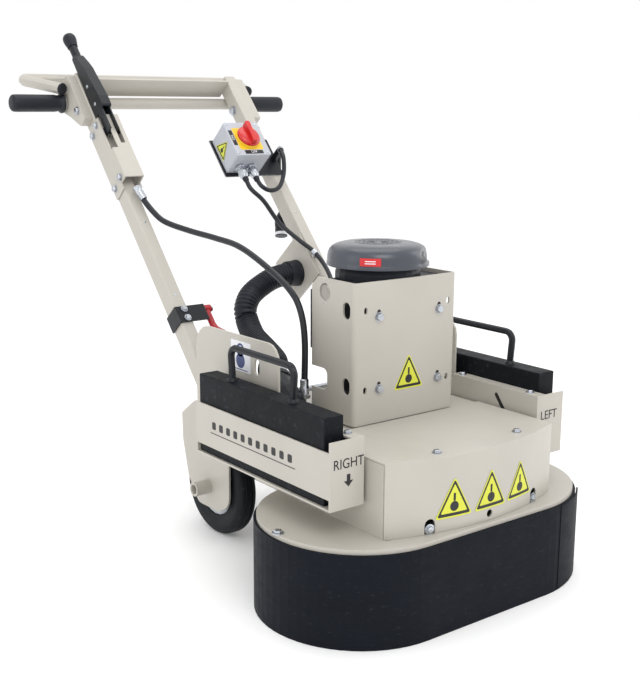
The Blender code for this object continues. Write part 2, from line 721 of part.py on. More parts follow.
def make_wheel(body, name, side):
    middle = side * sum(WHEEL_X) / 2
    half = (WHEEL_X[1] - WHEEL_X[0]) / 2
    r = WHEEL_R
    tyre = turned([
        (0.062, half - 0.003), (0.092, half), (r - 0.004, half - 0.003), (r, half - 0.010), (r, -half + 0.010),
        (r - 0.004, -half + 0.003), (0.092, -half), (0.062, -half + 0.003),
    ], (middle, AXLE_Y, r), "X", 36)
    put(tyre, "wheel_tyre_" + name, body, RUBBER, 0.75)
    bore = AXLE_R + GAP
    hub = turned([
        (bore + 0.010, half - 0.002), (bore + 0.010, 0.008), (0.052, 0.008), (0.0545, half - 0.006),
        (0.0617, half - 0.006), (0.0617, -half + 0.006), (0.0545, -half + 0.006), (0.052, -0.008),
        (bore + 0.010, -0.008), (bore + 0.010, -half + 0.002), (bore, -half + 0.002), (bore, half - 0.002),
    ], (middle, AXLE_Y, r), "X", 20)
    put(hub, "wheel_hub_" + name, body, GREY, 0.5, 0.3)


# ---------------------------------------------------------------- handle, in its own frame

def make_uprights(handle):
    half_w, half_d = UPRIGHT_W / 2, UPRIGHT_D / 2
    for name, side in (("right", -1), ("left", 1)):
        x = side * UPRIGHT_X
        post = box((x - half_w, x + half_w), (-half_d, half_d), (-0.018, UPRIGHT_TOP), 0.003)
        pin_bore = rod(0.0063, x - 0.03, x + 0.03, "X", (0.0, 0.0), 16)
        if name == "left":
            plate = flat([rectangle((-0.016, 0.104), (0.262, 0.376), 0.003),
                          circle(0.050, 0.311, HOSE_R - 0.004)], 0.1765, 0.1815, "YZ")
            fuse(post, plate)
        put(cut(post, pin_bore), "handle_upright_" + name, handle, BEIGE)


def make_bars(handle, origin_tilt):
    bar = rod(BAR_R, -0.349, 0.349, "X", (BAR_BACK, BAR_UP), 24)
    put(bar, "handlebar", handle, BEIGE)
    for name, side in (("right", -1), ("left", 1)):
        grip = turned([
            (0.0, side * (GRIP_X[1] + 0.001)), (GRIP_R - 0.006, side * (GRIP_X[1] + 0.001)),
            (GRIP_R, side * (GRIP_X[1] - 0.007)), (GRIP_R, side * (GRIP_X[0] + 0.006)),
            (GRIP_R + 0.0012, side * (GRIP_X[0] + 0.005)), (GRIP_R + 0.0012, side * GRIP_X[0]),
            (BAR_R + GAP, side * GRIP_X[0]), (BAR_R + GAP, side * 0.3495), (0.0, side * 0.3495),
        ][::side], (0.0, BAR_BACK, BAR_UP), "X", 20)
        put(grip, "grip_" + name, handle, RUBBER, 0.7)

    def frame(x, y, z):
        """A place in the machine's frame, in the handle's own frame."""
        place = Vector((x, y - FOLD_Y, z - FOLD_Z))
        place.rotate(origin_tilt)
        return place

    front_y, rear_y = 0.9145, 1.0400
    front_z, rear_z = 0.8893, 0.9116
    loop = bent([
        frame(-LOOP_X, front_y, front_z), frame(-LOOP_REAR_X, rear_y, rear_z),
        frame(LOOP_REAR_X, rear_y, rear_z), frame(LOOP_X, front_y, front_z),
    ], BAR_R, 0.020)
    put(loop, "rear_loop", handle, BEIGE)


def make_brace(handle):
    inner = UPRIGHT_X - UPRIGHT_W / 2 - GAP
    web = box((-inner, inner), (-0.0245, 0.0290), (0.8165, 0.8205))
    lip = box((-inner, inner), (0.0250, 0.0290), (0.8170, 0.8360))
    put(fuse(web, lip), "cross_brace", handle, BEIGE)


def make_handle_brackets(handle):
    outer = UPRIGHT_X + UPRIGHT_W / 2 + GAP
    inner_of_loop = LOOP_X - BAR_R - GAP
    outline = rounded([
        (-0.016, 0.712, 0.003), (0.010, 0.712, 0.003), (0.036, 0.762, 0.006), (0.052, 0.786, 0.006),
        (0.052, 0.822, 0.010), (0.026, 0.836, 0.006), (-0.016, 0.836, 0.006),
    ], 2)
    hole = circle(BAR_BACK, BAR_UP, BAR_R + GAP, 24)
    for name, side in (("right", -1), ("left", 1)):
        low, high = sorted((side * outer, side * inner_of_loop))
        put(flat([outline, hole], low, high, "YZ"), "handle_bracket_" + name, handle, BEIGE)


def make_lever(handle, lever):
    front, depth = -0.0475, 0.018
    x0, x1 = -0.2125, -0.1675
    shell = box((x0, x1), (front, depth), (0.516, 0.697), 0.0015)
    room = box((x0 + SHEET, x1 - SHEET), (front + SHEET, 0.03), (0.50, 0.72))
    foot_cut = box((x0 - 0.01, x1 + 0.01), (-0.10, -0.024), (0.50, 0.529))
    outer_slot = box((x0 - 0.01, -0.1990), (-0.06, -0.036), (0.606, 0.72))
    inner_slot = box((-0.1882, -0.1775), (-0.06, -0.036), (0.618, 0.72))
    put(cut(shell, room, foot_cut, outer_slot, inner_slot), "lever_bracket", handle, BEIGE)

    outline = rounded([
        (-0.0205, 0.706, 0.0), (-0.0205, 0.748, 0.020), (-0.0240, 0.800, 0.0), (-0.0255, 0.872, 0.004),
        (-0.0400, 0.872, 0.004), (-0.0513, 0.840, 0.010), (-0.0570, 0.820, 0.010), (-0.0668, 0.732, 0.010),
        (-0.0660, 0.706, 0.004),
    ], 3)
    arm = flat([outline], -0.2060, -0.1845, "YZ")
    hollow = flat([[(-0.010, 0.69), (-0.010, 0.840), (-0.0460, 0.840), (-0.0620, 0.732), (-0.0620, 0.69)]],
                  -0.2025, -0.1880, "YZ")
    legs = [
        box(x, (-0.058, -0.036), (0.6500, 0.7100)) for x in ((-0.2058, -0.2024), (-0.1881 + GAP * 2, -0.1847))
    ]
    pin = rod(LEVER_PIN_R, -0.2088, -0.1712, "X", LEVER_PIVOT, 16)
    ears = [box((x - 0.0017, x + 0.0017), (-0.0395, LEVER_PIVOT[0] + 0.0065), (0.6500, 0.6700)) for x in (-0.2041, -0.1861)]
    neck = rod(0.0095, 0.866, KNOB_LOW - GAP, at=(LEVER_NECK[0], LEVER_NECK[1]), sides=20)
    put(fuse(cut(arm, hollow), neck, *legs, pin, *ears), "lever_arm", lever, BLACK, 0.45, 0.2)


def make_lever_knob(knob_body):
    knob = turned([
        (0.0, 0.9365), (0.0090, 0.9355), (0.0135, 0.9310), (0.0145, 0.9230), (0.0135, 0.9120), (0.0112, KNOB_LOW),
        (0.0, KNOB_LOW),
    ], (*LEVER_NECK, 0.0), sides=20)
    put(knob, "lever_knob", knob_body, BLACK, 0.5)


def make_switch(handle, knob_body):
    front = -UPRIGHT_D / 2 - GAP
    lid = -0.087
    plate = box((0.050, 0.2087), (front - 0.003, front), (0.536, 0.6395))
    case = box((0.055, 0.145), (lid, front - 0.002), (0.544, 0.636), 0.004)
    put(fuse(plate, case), "switch_box", handle, GREY, 0.55)
    profile = [(0.0, -0.017), (0.0285, -0.017), (0.0285, -0.011), (0.025, -0.004), (0.014, 0.0), (0.0, 0.0)]
    knob = turned(profile, (SWITCH_X, lid - GAP, SWITCH_UP), "Y", 28)
    ridge = box((SWITCH_X - 0.0065, SWITCH_X + 0.0065), (-0.114, -0.090), (SWITCH_UP - 0.025, SWITCH_UP + 0.025), 0.003)
    put(fuse(knob, ridge), "switch_knob", knob_body, RED, 0.3)


def make_latch(handle, latch_body):
    """The clamp on the right upright and the red latch lever that hangs from its pin."""
    front = -UPRIGHT_D / 2 - GAP
    out = -UPRIGHT_X - UPRIGHT_W / 2 - GAP
    ear_x = -0.1450
    low, high = 0.1815, 0.2175
    y, up = LATCH_PIVOT
    face = box((out - 0.003, ear_x), (front - 0.004, front), (low, high))
    side = box((out - 0.003, out), (front - 0.004, UPRIGHT_D / 2), (low, high))
    ear = box((ear_x - 0.004, ear_x), (front - 0.004, 0.002), (0.1960, high))
    pin = rod(0.0040, -0.1560, -0.1225, "X", LATCH_PIVOT, 16)
    nut = rod(0.0075, -0.1545, -0.1485, "X", LATCH_PIVOT, 6)
    put(fuse(face, side, ear, pin, nut), "latch_bracket", handle, BLACK, 0.5)
    hub = rod(0.0085, ear_x + GAP, -0.1270, "X", LATCH_PIVOT, 20)
    x = (ear_x + GAP - 0.1270) / 2
    bar = as_mesh(bent([(x, y, up - 0.004), (x, y, up - 0.049), (x, y - 0.023, up - 0.074)], 0.0068, 0.014))
    bore = rod(0.0043, -0.16, -0.11, "X", LATCH_PIVOT, 16)
    put(cut(fuse(hub, bar), bore), "latch_lever", latch_body, RED, 0.35)


# ---------------------------------------------------------------- hose, cable and cords

HOSE_ROUTE = [
    (0.1715, 0.6180, 0.4839), (0.1450, 0.6185, 0.4830), (0.1120, 0.6200, 0.4770), (0.0816, 0.6200, 0.4644),
    (0.0520, 0.6130, 0.4510), (0.0300, 0.6000, 0.4385), (0.0165, 0.5900, 0.4200), (0.0138, 0.5800, 0.3988),
    (0.0050, 0.5520, 0.3810), (-0.0060, 0.5200, 0.3710), (-0.0260, 0.4500, 0.3600), (-0.0660, 0.3600, 0.3570),
    (-0.0980, 0.3290, 0.3560), (-0.1188, 0.2974, 0.3530), (-0.1321, 0.2623, 0.3469),
]
CABLE_ROUTE = [
    (-0.1880, 0.6830, 0.6830), (-0.1850, 0.6720, 0.6680), (-0.1760, 0.6420, 0.6400), (-0.1650, 0.6120, 0.6205),
    (-0.1500, 0.5380, 0.6075), (-0.1400, 0.4600, 0.6000), (-0.1350, 0.3780, 0.5900), (-0.1300, 0.2910, 0.5590),
    (-0.1280, 0.2240, 0.5260), (-0.1270, 0.1940, 0.4935), (-0.1270, 0.1800, 0.4400), (-0.1270, 0.1810, 0.3450),
]
LEAD_ROUTE = [
    (0.0780, 0.6756, 0.6956), (0.0800, 0.6580, 0.6750), (0.1050, 0.6450, 0.6480), (0.1350, 0.6270, 0.5990),
    (0.1600, 0.5900, 0.5640), (0.1800, 0.5550, 0.5370), (0.1760, 0.5050, 0.5050), (0.1450, 0.4400, 0.4750),
    (0.1050, 0.3650, 0.4520), (0.0700, 0.3050, 0.4430), (0.0400, 0.2665, 0.4425),
]
POWER_ROUTE = [
    (0.1070, 0.6756, 0.6956), (0.1100, 0.6600, 0.6800), (0.1300, 0.6550, 0.6700), (0.1560, 0.6560, 0.6770),
    (0.1780, 0.6700, 0.7060), (0.1900, 0.6880, 0.7400), (0.2010, 0.7150, 0.7560), (0.2180, 0.7430, 0.7520),
    (0.2255, 0.7560, 0.7250), (0.2240, 0.7520, 0.6850), (0.2180, 0.7400, 0.6450), (0.2100, 0.7270, 0.6120),
]


def make_cords(base, handle_side):
    put(tube(smooth_path(HOSE_ROUTE, 0.032), HOSE_R, 3), "vacuum_hose", base, BLACK, 0.6)
    put(tube(smooth_path(CABLE_ROUTE, 0.020), 0.006, 2), "control_cable", base, BLACK, 0.5)
    put(tube(smooth_path(LEAD_ROUTE, 0.016), 0.005, 2), "motor_lead", base, BLACK, 0.6)
    put(tube(smooth_path(POWER_ROUTE, 0.013), 0.005, 2), "power_cord", handle_side, BLACK, 0.6)
    top = Vector(POWER_ROUTE[-1]) + Vector((-0.0004, -0.0006, -0.0012))
    plug = turned([
        (0.0, 0.0), (0.006, 0.0), (0.0135, -0.014), (0.0145, -0.045), (0.0145, -0.058), (0.0, -0.058),
    ], (top.x, top.y, top.z), sides=20)
    plug.rotation_euler = (-0.35, 0.24, 0.0)
    put(plug, "power_plug", handle_side, BLACK, 0.5)


# ---------------------------------------------------------------- the machine

def main():
    global PARTS, CUTTERS
    clear_scene()
    PARTS = collection("concrete_grinder")
    CUTTERS = collection("cutters")
    tilt = HANDLE_ANGLE - math.pi / 2

    machine = Body("machine", (0.0, ORIGIN_Y, 0.0))
    machine.origin = Vector()
    sides = (("right", -1), ("left", 1))
    axles = {
        name: Body("wheel_axis_" + name, (side * sum(WHEEL_X) / 2, AXLE_Y, WHEEL_R), machine) for name, side in sides
    }
    spindles = {name: Body("spindle_axis_" + name, (side * DISC_X, 0.0, DECK_TOP), machine) for name, side in sides}
    weights = {
        name: Body("weight_place_" + name, (side * sum(WEIGHT_X) / 2, 0.12, WEIGHT_TOP), machine) for name, side in sides
    }
    motor_axis = Body("motor_axis", (MOTOR_X, MOTOR_Y, HOUSING_TOP), machine)
    arm_axis = Body("idler_arm_axis", (*IDLER_PIVOT, DECK_TOP), machine)
    idler_axis = Body("idler_axis", (*IDLER_AT, DECK_TOP), arm_axis)
    fold_axis = Body("handle_fold_axis", (0.0, FOLD_Y, FOLD_Z), machine)
    handle = Body("handle_frame", (0.0, FOLD_Y, FOLD_Z), fold_axis, tilt)
    lever_axis = Body("lever_axis", (LEVER_NECK[0], *LEVER_PIVOT), handle)
    lever_knob_axis = Body("lever_knob_axis", (*LEVER_NECK, KNOB_LOW), lever_axis)
    switch_axis = Body("switch_axis", (SWITCH_X, -0.0873, SWITCH_UP), handle)
    latch_axis = Body("latch_axis", (-0.136, *LATCH_PIVOT), handle)

    make_deck(machine)
    make_belt(machine)
    make_belt_housing(machine)
    make_dust_port(machine)
    make_motor_bracket(machine)
    make_motor(machine)
    make_rotor(motor_axis)
    make_idler(arm_axis, idler_axis)
    make_chassis(machine)
    make_pivot_rod(machine)
    for name, side in sides:
        make_spindle_housing(machine, name, side)
        make_disc(spindles[name], name, side)
        make_side(machine, name, side)
        make_weight(weights[name], name, side)
        make_wheel(axles[name], name, side)

    make_uprights(handle)
    from_machine = handle.empty.rotation_euler.to_matrix().inverted()
    make_bars(handle, from_machine)
    make_brace(handle)
    make_handle_brackets(handle)
    make_lever(handle, lever_axis)
    make_lever_knob(lever_knob_axis)
    make_switch(handle, switch_axis)
    make_latch(handle, latch_axis)
    make_cords(machine, fold_axis)


main()
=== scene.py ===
"""Looks for the walk-behind floor grinder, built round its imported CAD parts.

Metres. Places on the machine are given in two frames, the same two that the part's own source uses:
MACHINE has y = 0 on the line through the disc centres, and HANDLE has its zero on the fold axis, Z up
along the uprights and Y out of their rear faces. right and left are the operator's: right is -X.
"""
from math import asin, cos, pi, radians, sin, sqrt, tan

import bmesh
import bpy
from mathutils import Matrix, Vector


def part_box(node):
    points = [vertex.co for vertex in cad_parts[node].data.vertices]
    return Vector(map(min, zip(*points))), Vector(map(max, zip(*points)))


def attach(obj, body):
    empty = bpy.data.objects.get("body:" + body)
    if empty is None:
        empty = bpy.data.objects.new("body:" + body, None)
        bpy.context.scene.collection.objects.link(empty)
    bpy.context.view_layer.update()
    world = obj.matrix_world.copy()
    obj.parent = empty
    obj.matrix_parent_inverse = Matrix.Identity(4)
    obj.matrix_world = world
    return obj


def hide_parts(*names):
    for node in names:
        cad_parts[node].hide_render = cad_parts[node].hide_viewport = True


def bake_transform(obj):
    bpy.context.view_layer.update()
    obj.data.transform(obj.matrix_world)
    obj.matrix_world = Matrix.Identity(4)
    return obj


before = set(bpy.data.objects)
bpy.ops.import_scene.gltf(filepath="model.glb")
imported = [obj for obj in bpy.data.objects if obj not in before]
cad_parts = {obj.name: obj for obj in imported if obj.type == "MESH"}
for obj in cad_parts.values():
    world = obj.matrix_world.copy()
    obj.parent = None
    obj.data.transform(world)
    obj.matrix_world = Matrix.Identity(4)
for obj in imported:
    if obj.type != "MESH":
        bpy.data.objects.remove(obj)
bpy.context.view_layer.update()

SHIFT_Y = -0.43495
FOLD_Y, FOLD_Z = 0.374, 0.285
TILT = radians(48.32) - pi / 2
MACHINE = Matrix.Translation((0.0, SHIFT_Y, 0.0))
HANDLE = MACHINE @ Matrix.Translation((0.0, FOLD_Y, FOLD_Z)) @ Matrix.Rotation(TILT, 4, "X")
PROUD = 0.0004               # how far a label's face stands off the sheet under it
THIN = 0.0003                # the thickness of painted slots and printed plates
SIDES = (("right", -1, "-X"), ("left", 1, "X"))   # each side's name, its sign on X and the axis facing outwards
AXLE_Y, AXLE_Z = 0.428, 0.1025


# -------- camera, light and floor

def placed(name, data):
    """A new object with that data, in the scene."""
    made = bpy.data.objects.new(name, data)
    bpy.context.scene.collection.objects.link(made)
    return made


def make_camera():
    yaw, pitch, roll = radians(37.5003), radians(12.4594), radians(0.2573)
    ahead = Vector((sin(yaw) * cos(pitch), cos(yaw) * cos(pitch), -sin(pitch)))
    level = Vector((cos(yaw), -sin(yaw), 0.0))
    above = level.cross(ahead)
    right = cos(roll) * level + sin(roll) * above
    up = -sin(roll) * level + cos(roll) * above
    data = bpy.data.cameras.new("camera")
    data.lens = 56.8
    data.sensor_width = 36.0
    camera = placed("camera", data)
    turn = Matrix((right, up, -ahead)).transposed().to_4x4()
    camera.matrix_world = Matrix.Translation((-1.2987, -1.82765, 0.8559)) @ turn
    bpy.context.scene.camera = camera


def area_light(name, at, aim, size, power, tint=(1.0, 1.0, 1.0)):
    data = bpy.data.lights.new(name, "AREA")
    data.shape = "RECTANGLE"
    data.size, data.size_y = size
    data.energy = power
    data.color = tint
    lamp = placed(name, data)
    lamp.location = at
    lamp.rotation_euler = (Vector(aim) - Vector(at)).to_track_quat("-Z", "Y").to_euler()


def set_inputs(node, values):
    for name, value in values.items():
        node.inputs[name].default_value = value


def make_studio():
    area_light("key_light", (-1.2, -2.6, 3.0), (0.0, -0.1, 0.4), (2.2, 1.6), 36.0)
    area_light("fill_light", (-3.2, 0.2, 1.6), (0.0, 0.0, 0.5), (1.8, 2.2), 9.0, (0.95, 0.97, 1.0))
    area_light("side_light", (3.0, -1.2, 2.0), (0.0, -0.2, 0.4), (1.6, 2.2), 16.0)
    area_light("top_light", (0.3, 0.4, 3.4), (0.0, 0.0, 0.3), (2.6, 2.2), 26.0)
    world = bpy.data.worlds.new("studio")
    world.use_nodes = True
    set_inputs(world.node_tree.nodes["Background"], {"Color": (1.0, 1.0, 1.0, 1.0), "Strength": 1.0})
    bpy.context.scene.world = world
    bpy.context.scene.view_settings.view_transform = "Standard"

    mesh = bpy.data.meshes.new("floor")
    reach = 60.0
    corners = [(-reach, -reach, 0.0), (reach, -reach, 0.0), (reach, reach, 0.0), (-reach, reach, 0.0)]
    mesh.from_pydata(corners, [], [(0, 1, 2, 3)])
    floor = placed("floor", mesh)
    paper = bpy.data.materials.new("floor_paper")
    paper.use_nodes = True
    set_inputs(paper.node_tree.nodes["Principled BSDF"], {
        "Base Color": (0.93, 0.93, 0.93, 1.0), "Roughness": 0.85,
        "Emission Color": (1.0, 1.0, 1.0, 1.0), "Emission Strength": 0.09,
    })
    mesh.materials.append(paper)


# -------- materials

def ranged(tree, socket, source=(0.0, 1.0), target=(0.0, 1.0)):
    """A value spread from the source range to the target range, as an output socket."""
    spread = tree.nodes.new("ShaderNodeMapRange")
    set_inputs(spread, {"From Min": source[0], "From Max": source[1], "To Min": target[0], "To Max": target[1]})
    tree.links.new(socket, spread.inputs["Value"])
    return spread.outputs["Result"]


def noisy(tree, scale, detail, coordinates, low, high):
    """A noise pattern from 0 at low to 1 at high, as an output socket."""
    noise = tree.nodes.new("ShaderNodeTexNoise")
    set_inputs(noise, {"Scale": scale, "Detail": detail})
    tree.links.new(coordinates, noise.inputs["Vector"])
    return ranged(tree, noise.outputs["Fac"], (low, high))


def mixed(tree, share, first, second):
    """A colour between first and second, each a colour or a socket."""
    mix = tree.nodes.new("ShaderNodeMix")
    mix.data_type = "RGBA"
    tree.links.new(share, mix.inputs[0])
    for slot, value in ((6, first), (7, second)):
        if isinstance(value, bpy.types.NodeSocket):
            tree.links.new(value, mix.inputs[slot])
        else:
            mix.inputs[slot].default_value = (*value, 1.0)
    return mix.outputs[2]


def painted_edge_highlights(tree, place, share):
    """Painted highlights: a lighter colour where the corners would catch the light, in patches, as an output
    socket.
    """
    round_off = tree.nodes.new("ShaderNodeBevel")
    round_off.samples = 4
    set_inputs(round_off, {"Radius": 0.0012})
    flat_face = tree.nodes.new("ShaderNodeNewGeometry")
    compare = tree.nodes.new("ShaderNodeVectorMath")
    compare.operation = "DOT_PRODUCT"
    tree.links.new(round_off.outputs["Normal"], compare.inputs[0])
    tree.links.new(flat_face.outputs["True Normal"], compare.inputs[1])
    patchy = tree.nodes.new("ShaderNodeMath")
    patchy.operation = "MULTIPLY"
    tree.links.new(ranged(tree, compare.outputs["Value"], (0.97, 0.8), (0.0, share)), patchy.inputs[0])
    tree.links.new(noisy(tree, 60.0, 5.0, place, 0.32, 0.55), patchy.inputs[1])
    return patchy.outputs["Value"]


GLOSS_SPREAD = 0.12          # how far the roughness wanders from place to place


def finish(name, colour, roughness, metallic=0.0, patch=7.0, shade=0.9, fleck=None, fleck_share=0.0,
           grain=700.0, depth=0.00006, stretch=(1.0, 1.0, 1.0), coat=0.0, shine=0.5, edge_highlight=None, edge_highlight_share=0.5):
    """A surface with broad changes of tone, fine flecks, grain in its relief and its gloss, and painted
    highlights on its edges.
    """
    made = bpy.data.materials.new(name)
    made.use_nodes = True
    tree = made.node_tree
    shader = tree.nodes["Principled BSDF"]
    set_inputs(shader, {"Metallic": metallic, "Specular IOR Level": shine, "Coat Weight": coat,
                        "Coat Roughness": 0.25})
    scaling = tree.nodes.new("ShaderNodeMapping")
    set_inputs(scaling, {"Scale": stretch})
    tree.links.new(tree.nodes.new("ShaderNodeTexCoord").outputs["Object"], scaling.inputs["Vector"])
    place = scaling.outputs["Vector"]

    tone = mixed(tree, noisy(tree, patch, 3.0, place, 0.3, 0.7), tuple(shade * c for c in colour), colour)
    if fleck is not None:
        flecks = noisy(tree, patch * 14.0, 8.0, place, 0.72 - 0.3 * fleck_share, 0.8)
        tone = mixed(tree, ranged(tree, flecks, target=(0.0, 0.6)), tone, fleck)
    # painted highlight: the corners are mixed toward a lighter edge colour, standing in for the light they
    # catch
    if edge_highlight is not None:
        tone = mixed(tree, painted_edge_highlights(tree, place, edge_highlight_share), tone, edge_highlight)
    tree.links.new(tone, shader.inputs["Base Color"])

    limits = (max(0.03, roughness - GLOSS_SPREAD / 2), min(1.0, roughness + GLOSS_SPREAD / 2))
    gloss = ranged(tree, noisy(tree, patch * 5.0, 5.0, place, 0.25, 0.75), target=limits)
    tree.links.new(gloss, shader.inputs["Roughness"])
    bump = tree.nodes.new("ShaderNodeBump")
    set_inputs(bump, {"Strength": 0.6, "Distance": depth})
    tree.links.new(noisy(tree, grain, 2.0, place, 0.25, 0.75), bump.inputs["Height"])
    tree.links.new(bump.outputs["Normal"], shader.inputs["Normal"])
    return made


CREAM = (0.48, 0.455, 0.405)
PRINT = {"grain": 800.0, "depth": 0.00002}       # the fine grain of a printed label

# Each edge colour below is a painted highlight on that finish's corners, lighter than the paint itself.
powder = finish("cream_powder_coat", CREAM, 0.42, shade=0.94, fleck=(0.4, 0.36, 0.3), fleck_share=0.12,
                grain=650.0, depth=0.0001, coat=0.15, edge_highlight=(0.7, 0.67, 0.61), edge_highlight_share=0.6)
black_paint = finish("black_satin_paint", (0.01, 0.012, 0.016), 0.4, shine=0.3, shade=0.7,
                     fleck=(0.05, 0.055, 0.065), fleck_share=0.25, grain=500.0, depth=0.00012,
                     edge_highlight=(0.07, 0.08, 0.1), edge_highlight_share=0.8)
weight_paint = finish("cast_weight_paint", (0.006, 0.008, 0.011), 0.52, shine=0.13, shade=0.65,
                      fleck=(0.045, 0.055, 0.07), fleck_share=0.45, grain=260.0, depth=0.0003,
                      edge_highlight=(0.08, 0.09, 0.11), edge_highlight_share=0.8)
skirt_rubber = finish("skirt_rubber", (0.005, 0.007, 0.012), 0.56, shine=0.11, shade=0.75,
                      fleck=(0.03, 0.036, 0.046), fleck_share=0.35, grain=420.0, depth=0.00016,
                      stretch=(1.0, 1.0, 2.6))
hose_rubber = finish("hose_rubber", (0.009, 0.012, 0.019), 0.45, shine=0.28, shade=0.75, grain=380.0,
                     depth=0.00012)
grip_rubber = finish("grip_rubber", (0.012, 0.014, 0.021), 0.45, shine=0.3, shade=0.75, grain=520.0,
                     depth=0.0002)
tyre_rubber = finish("tyre_rubber", (0.014, 0.016, 0.02), 0.62, shine=0.2, shade=0.7,
                     fleck=(0.055, 0.055, 0.06), fleck_share=0.3, grain=330.0, depth=0.00025)
cord_jacket = finish("cord_jacket", (0.01, 0.012, 0.017), 0.38, shine=0.4, shade=0.8, grain=600.0,
                     depth=0.00005)
zinc = finish("zinc_plate", (0.6, 0.63, 0.68), 0.26, 1.0, patch=30.0, shade=0.72, grain=900.0, depth=0.00005)
brass = finish("brass", (0.62, 0.46, 0.25), 0.28, 1.0, patch=30.0, shade=0.75, grain=900.0, depth=0.00005)
steel = finish("turned_steel", (0.34, 0.34, 0.35), 0.32, 1.0, patch=20.0, shade=0.75, grain=500.0,
               stretch=(6.0, 1.0, 1.0))
iron = finish("cast_iron", (0.06, 0.063, 0.07), 0.55, 0.35, patch=18.0, shade=0.7, grain=240.0, depth=0.00035)
motor_grey = finish("motor_body_paint", (0.017, 0.02, 0.027), 0.45, shine=0.3, shade=0.75, grain=330.0,
                    depth=0.0002)
cover_plastic = finish("fan_cover_plastic", (0.046, 0.053, 0.07), 0.3, patch=9.0, shade=0.85, grain=520.0,
                       depth=0.00012, coat=0.3)
red_plastic = finish("red_plastic", (0.62, 0.01, 0.01), 0.24, shade=0.88, depth=0.00003, coat=0.4)
red_paint = finish("red_lever_coat", (0.42, 0.01, 0.016), 0.32, shade=0.8, grain=600.0, depth=0.00005, coat=0.2)
box_plastic = finish("light_grey_plastic", (0.47, 0.49, 0.54), 0.42, shade=0.92, grain=560.0, depth=0.00008)
yellow = finish("yellow_label", (0.66, 0.68, 0.045), 0.38, shade=0.93, **PRINT)
amber = finish("yellow_plate", (0.85, 0.55, 0.02), 0.38, shade=0.93, **PRINT)
ink = finish("black_ink", (0.01, 0.01, 0.012), 0.45, shade=0.8, **PRINT)
white = finish("white_label", (0.78, 0.79, 0.82), 0.4, shade=0.94, **PRINT)
blue = finish("blue_ink", (0.015, 0.035, 0.16), 0.4, **PRINT)
red_label = finish("red_label", (0.6, 0.02, 0.025), 0.35, shade=0.92, **PRINT)
stone = finish("diamond_segment", (0.2, 0.17, 0.14), 0.85, patch=40.0, shade=0.55, fleck=(0.42, 0.4, 0.36),
               fleck_share=0.8, grain=1100.0, depth=0.0005)

FINISHES = {}                # each CAD node's material. A star stands for right and left
for material, nodes in (
    (powder, "deck_plate belt_housing belt_guard_cover motor_bracket chassis_frame axle_plate_* pivot_plate_* "
             "tray_* handle_upright_* handlebar rear_loop cross_brace handle_bracket_* lever_bracket"),
    (black_paint, "dust_port motor_fan weight_handle_* latch_bracket lever_arm"),
    (weight_paint, "weight_*"), (skirt_rubber, "deck_skirt"), (hose_rubber, "vacuum_hose"),
    (grip_rubber, "grip_* power_plug lever_knob"), (tyre_rubber, "drive_belt wheel_tyre_*"),
    (cord_jacket, "control_cable motor_lead power_cord"), (zinc, "handle_pivot_rod idler_arm"),
    (steel, "wheel_axle motor_shaft spindle_shaft_* idler_pulley"),
    (iron, "spindle_housing_* motor_pulley spindle_pulley_*"), (motor_grey, "motor_body"),
    (cover_plastic, "motor_fan_cover"), (stone, "grinding_disc_*"), (box_plastic, "wheel_hub_* switch_box"),
    (red_plastic, "switch_knob"), (red_paint, "latch_lever"),
):
    for node_name in nodes.split():
        for side_name, _, _ in SIDES:
            FINISHES[node_name.replace("*", side_name)] = material


def dress_cad():
    for name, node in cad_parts.items():
        if not node.material_slots:
            node.data.materials.append(FINISHES[name])
        for slot in node.material_slots:
            slot.material = FINISHES[name]


# -------- shapes

AXES = {
    "X": Matrix(((0.0, 0.0, 1.0), (1.0, 0.0, 0.0), (0.0, 1.0, 0.0))),
    "Y": Matrix(((1.0, 0.0, 0.0), (0.0, 0.0, -1.0), (0.0, 1.0, 0.0))),
    "Z": Matrix.Identity(3),
    "-X": Matrix(((0.0, 0.0, -1.0), (-1.0, 0.0, 0.0), (0.0, 1.0, 0.0))),
    "-Z": Matrix(((1.0, 0.0, 0.0), (0.0, -1.0, 0.0), (0.0, 0.0, -1.0))),
}


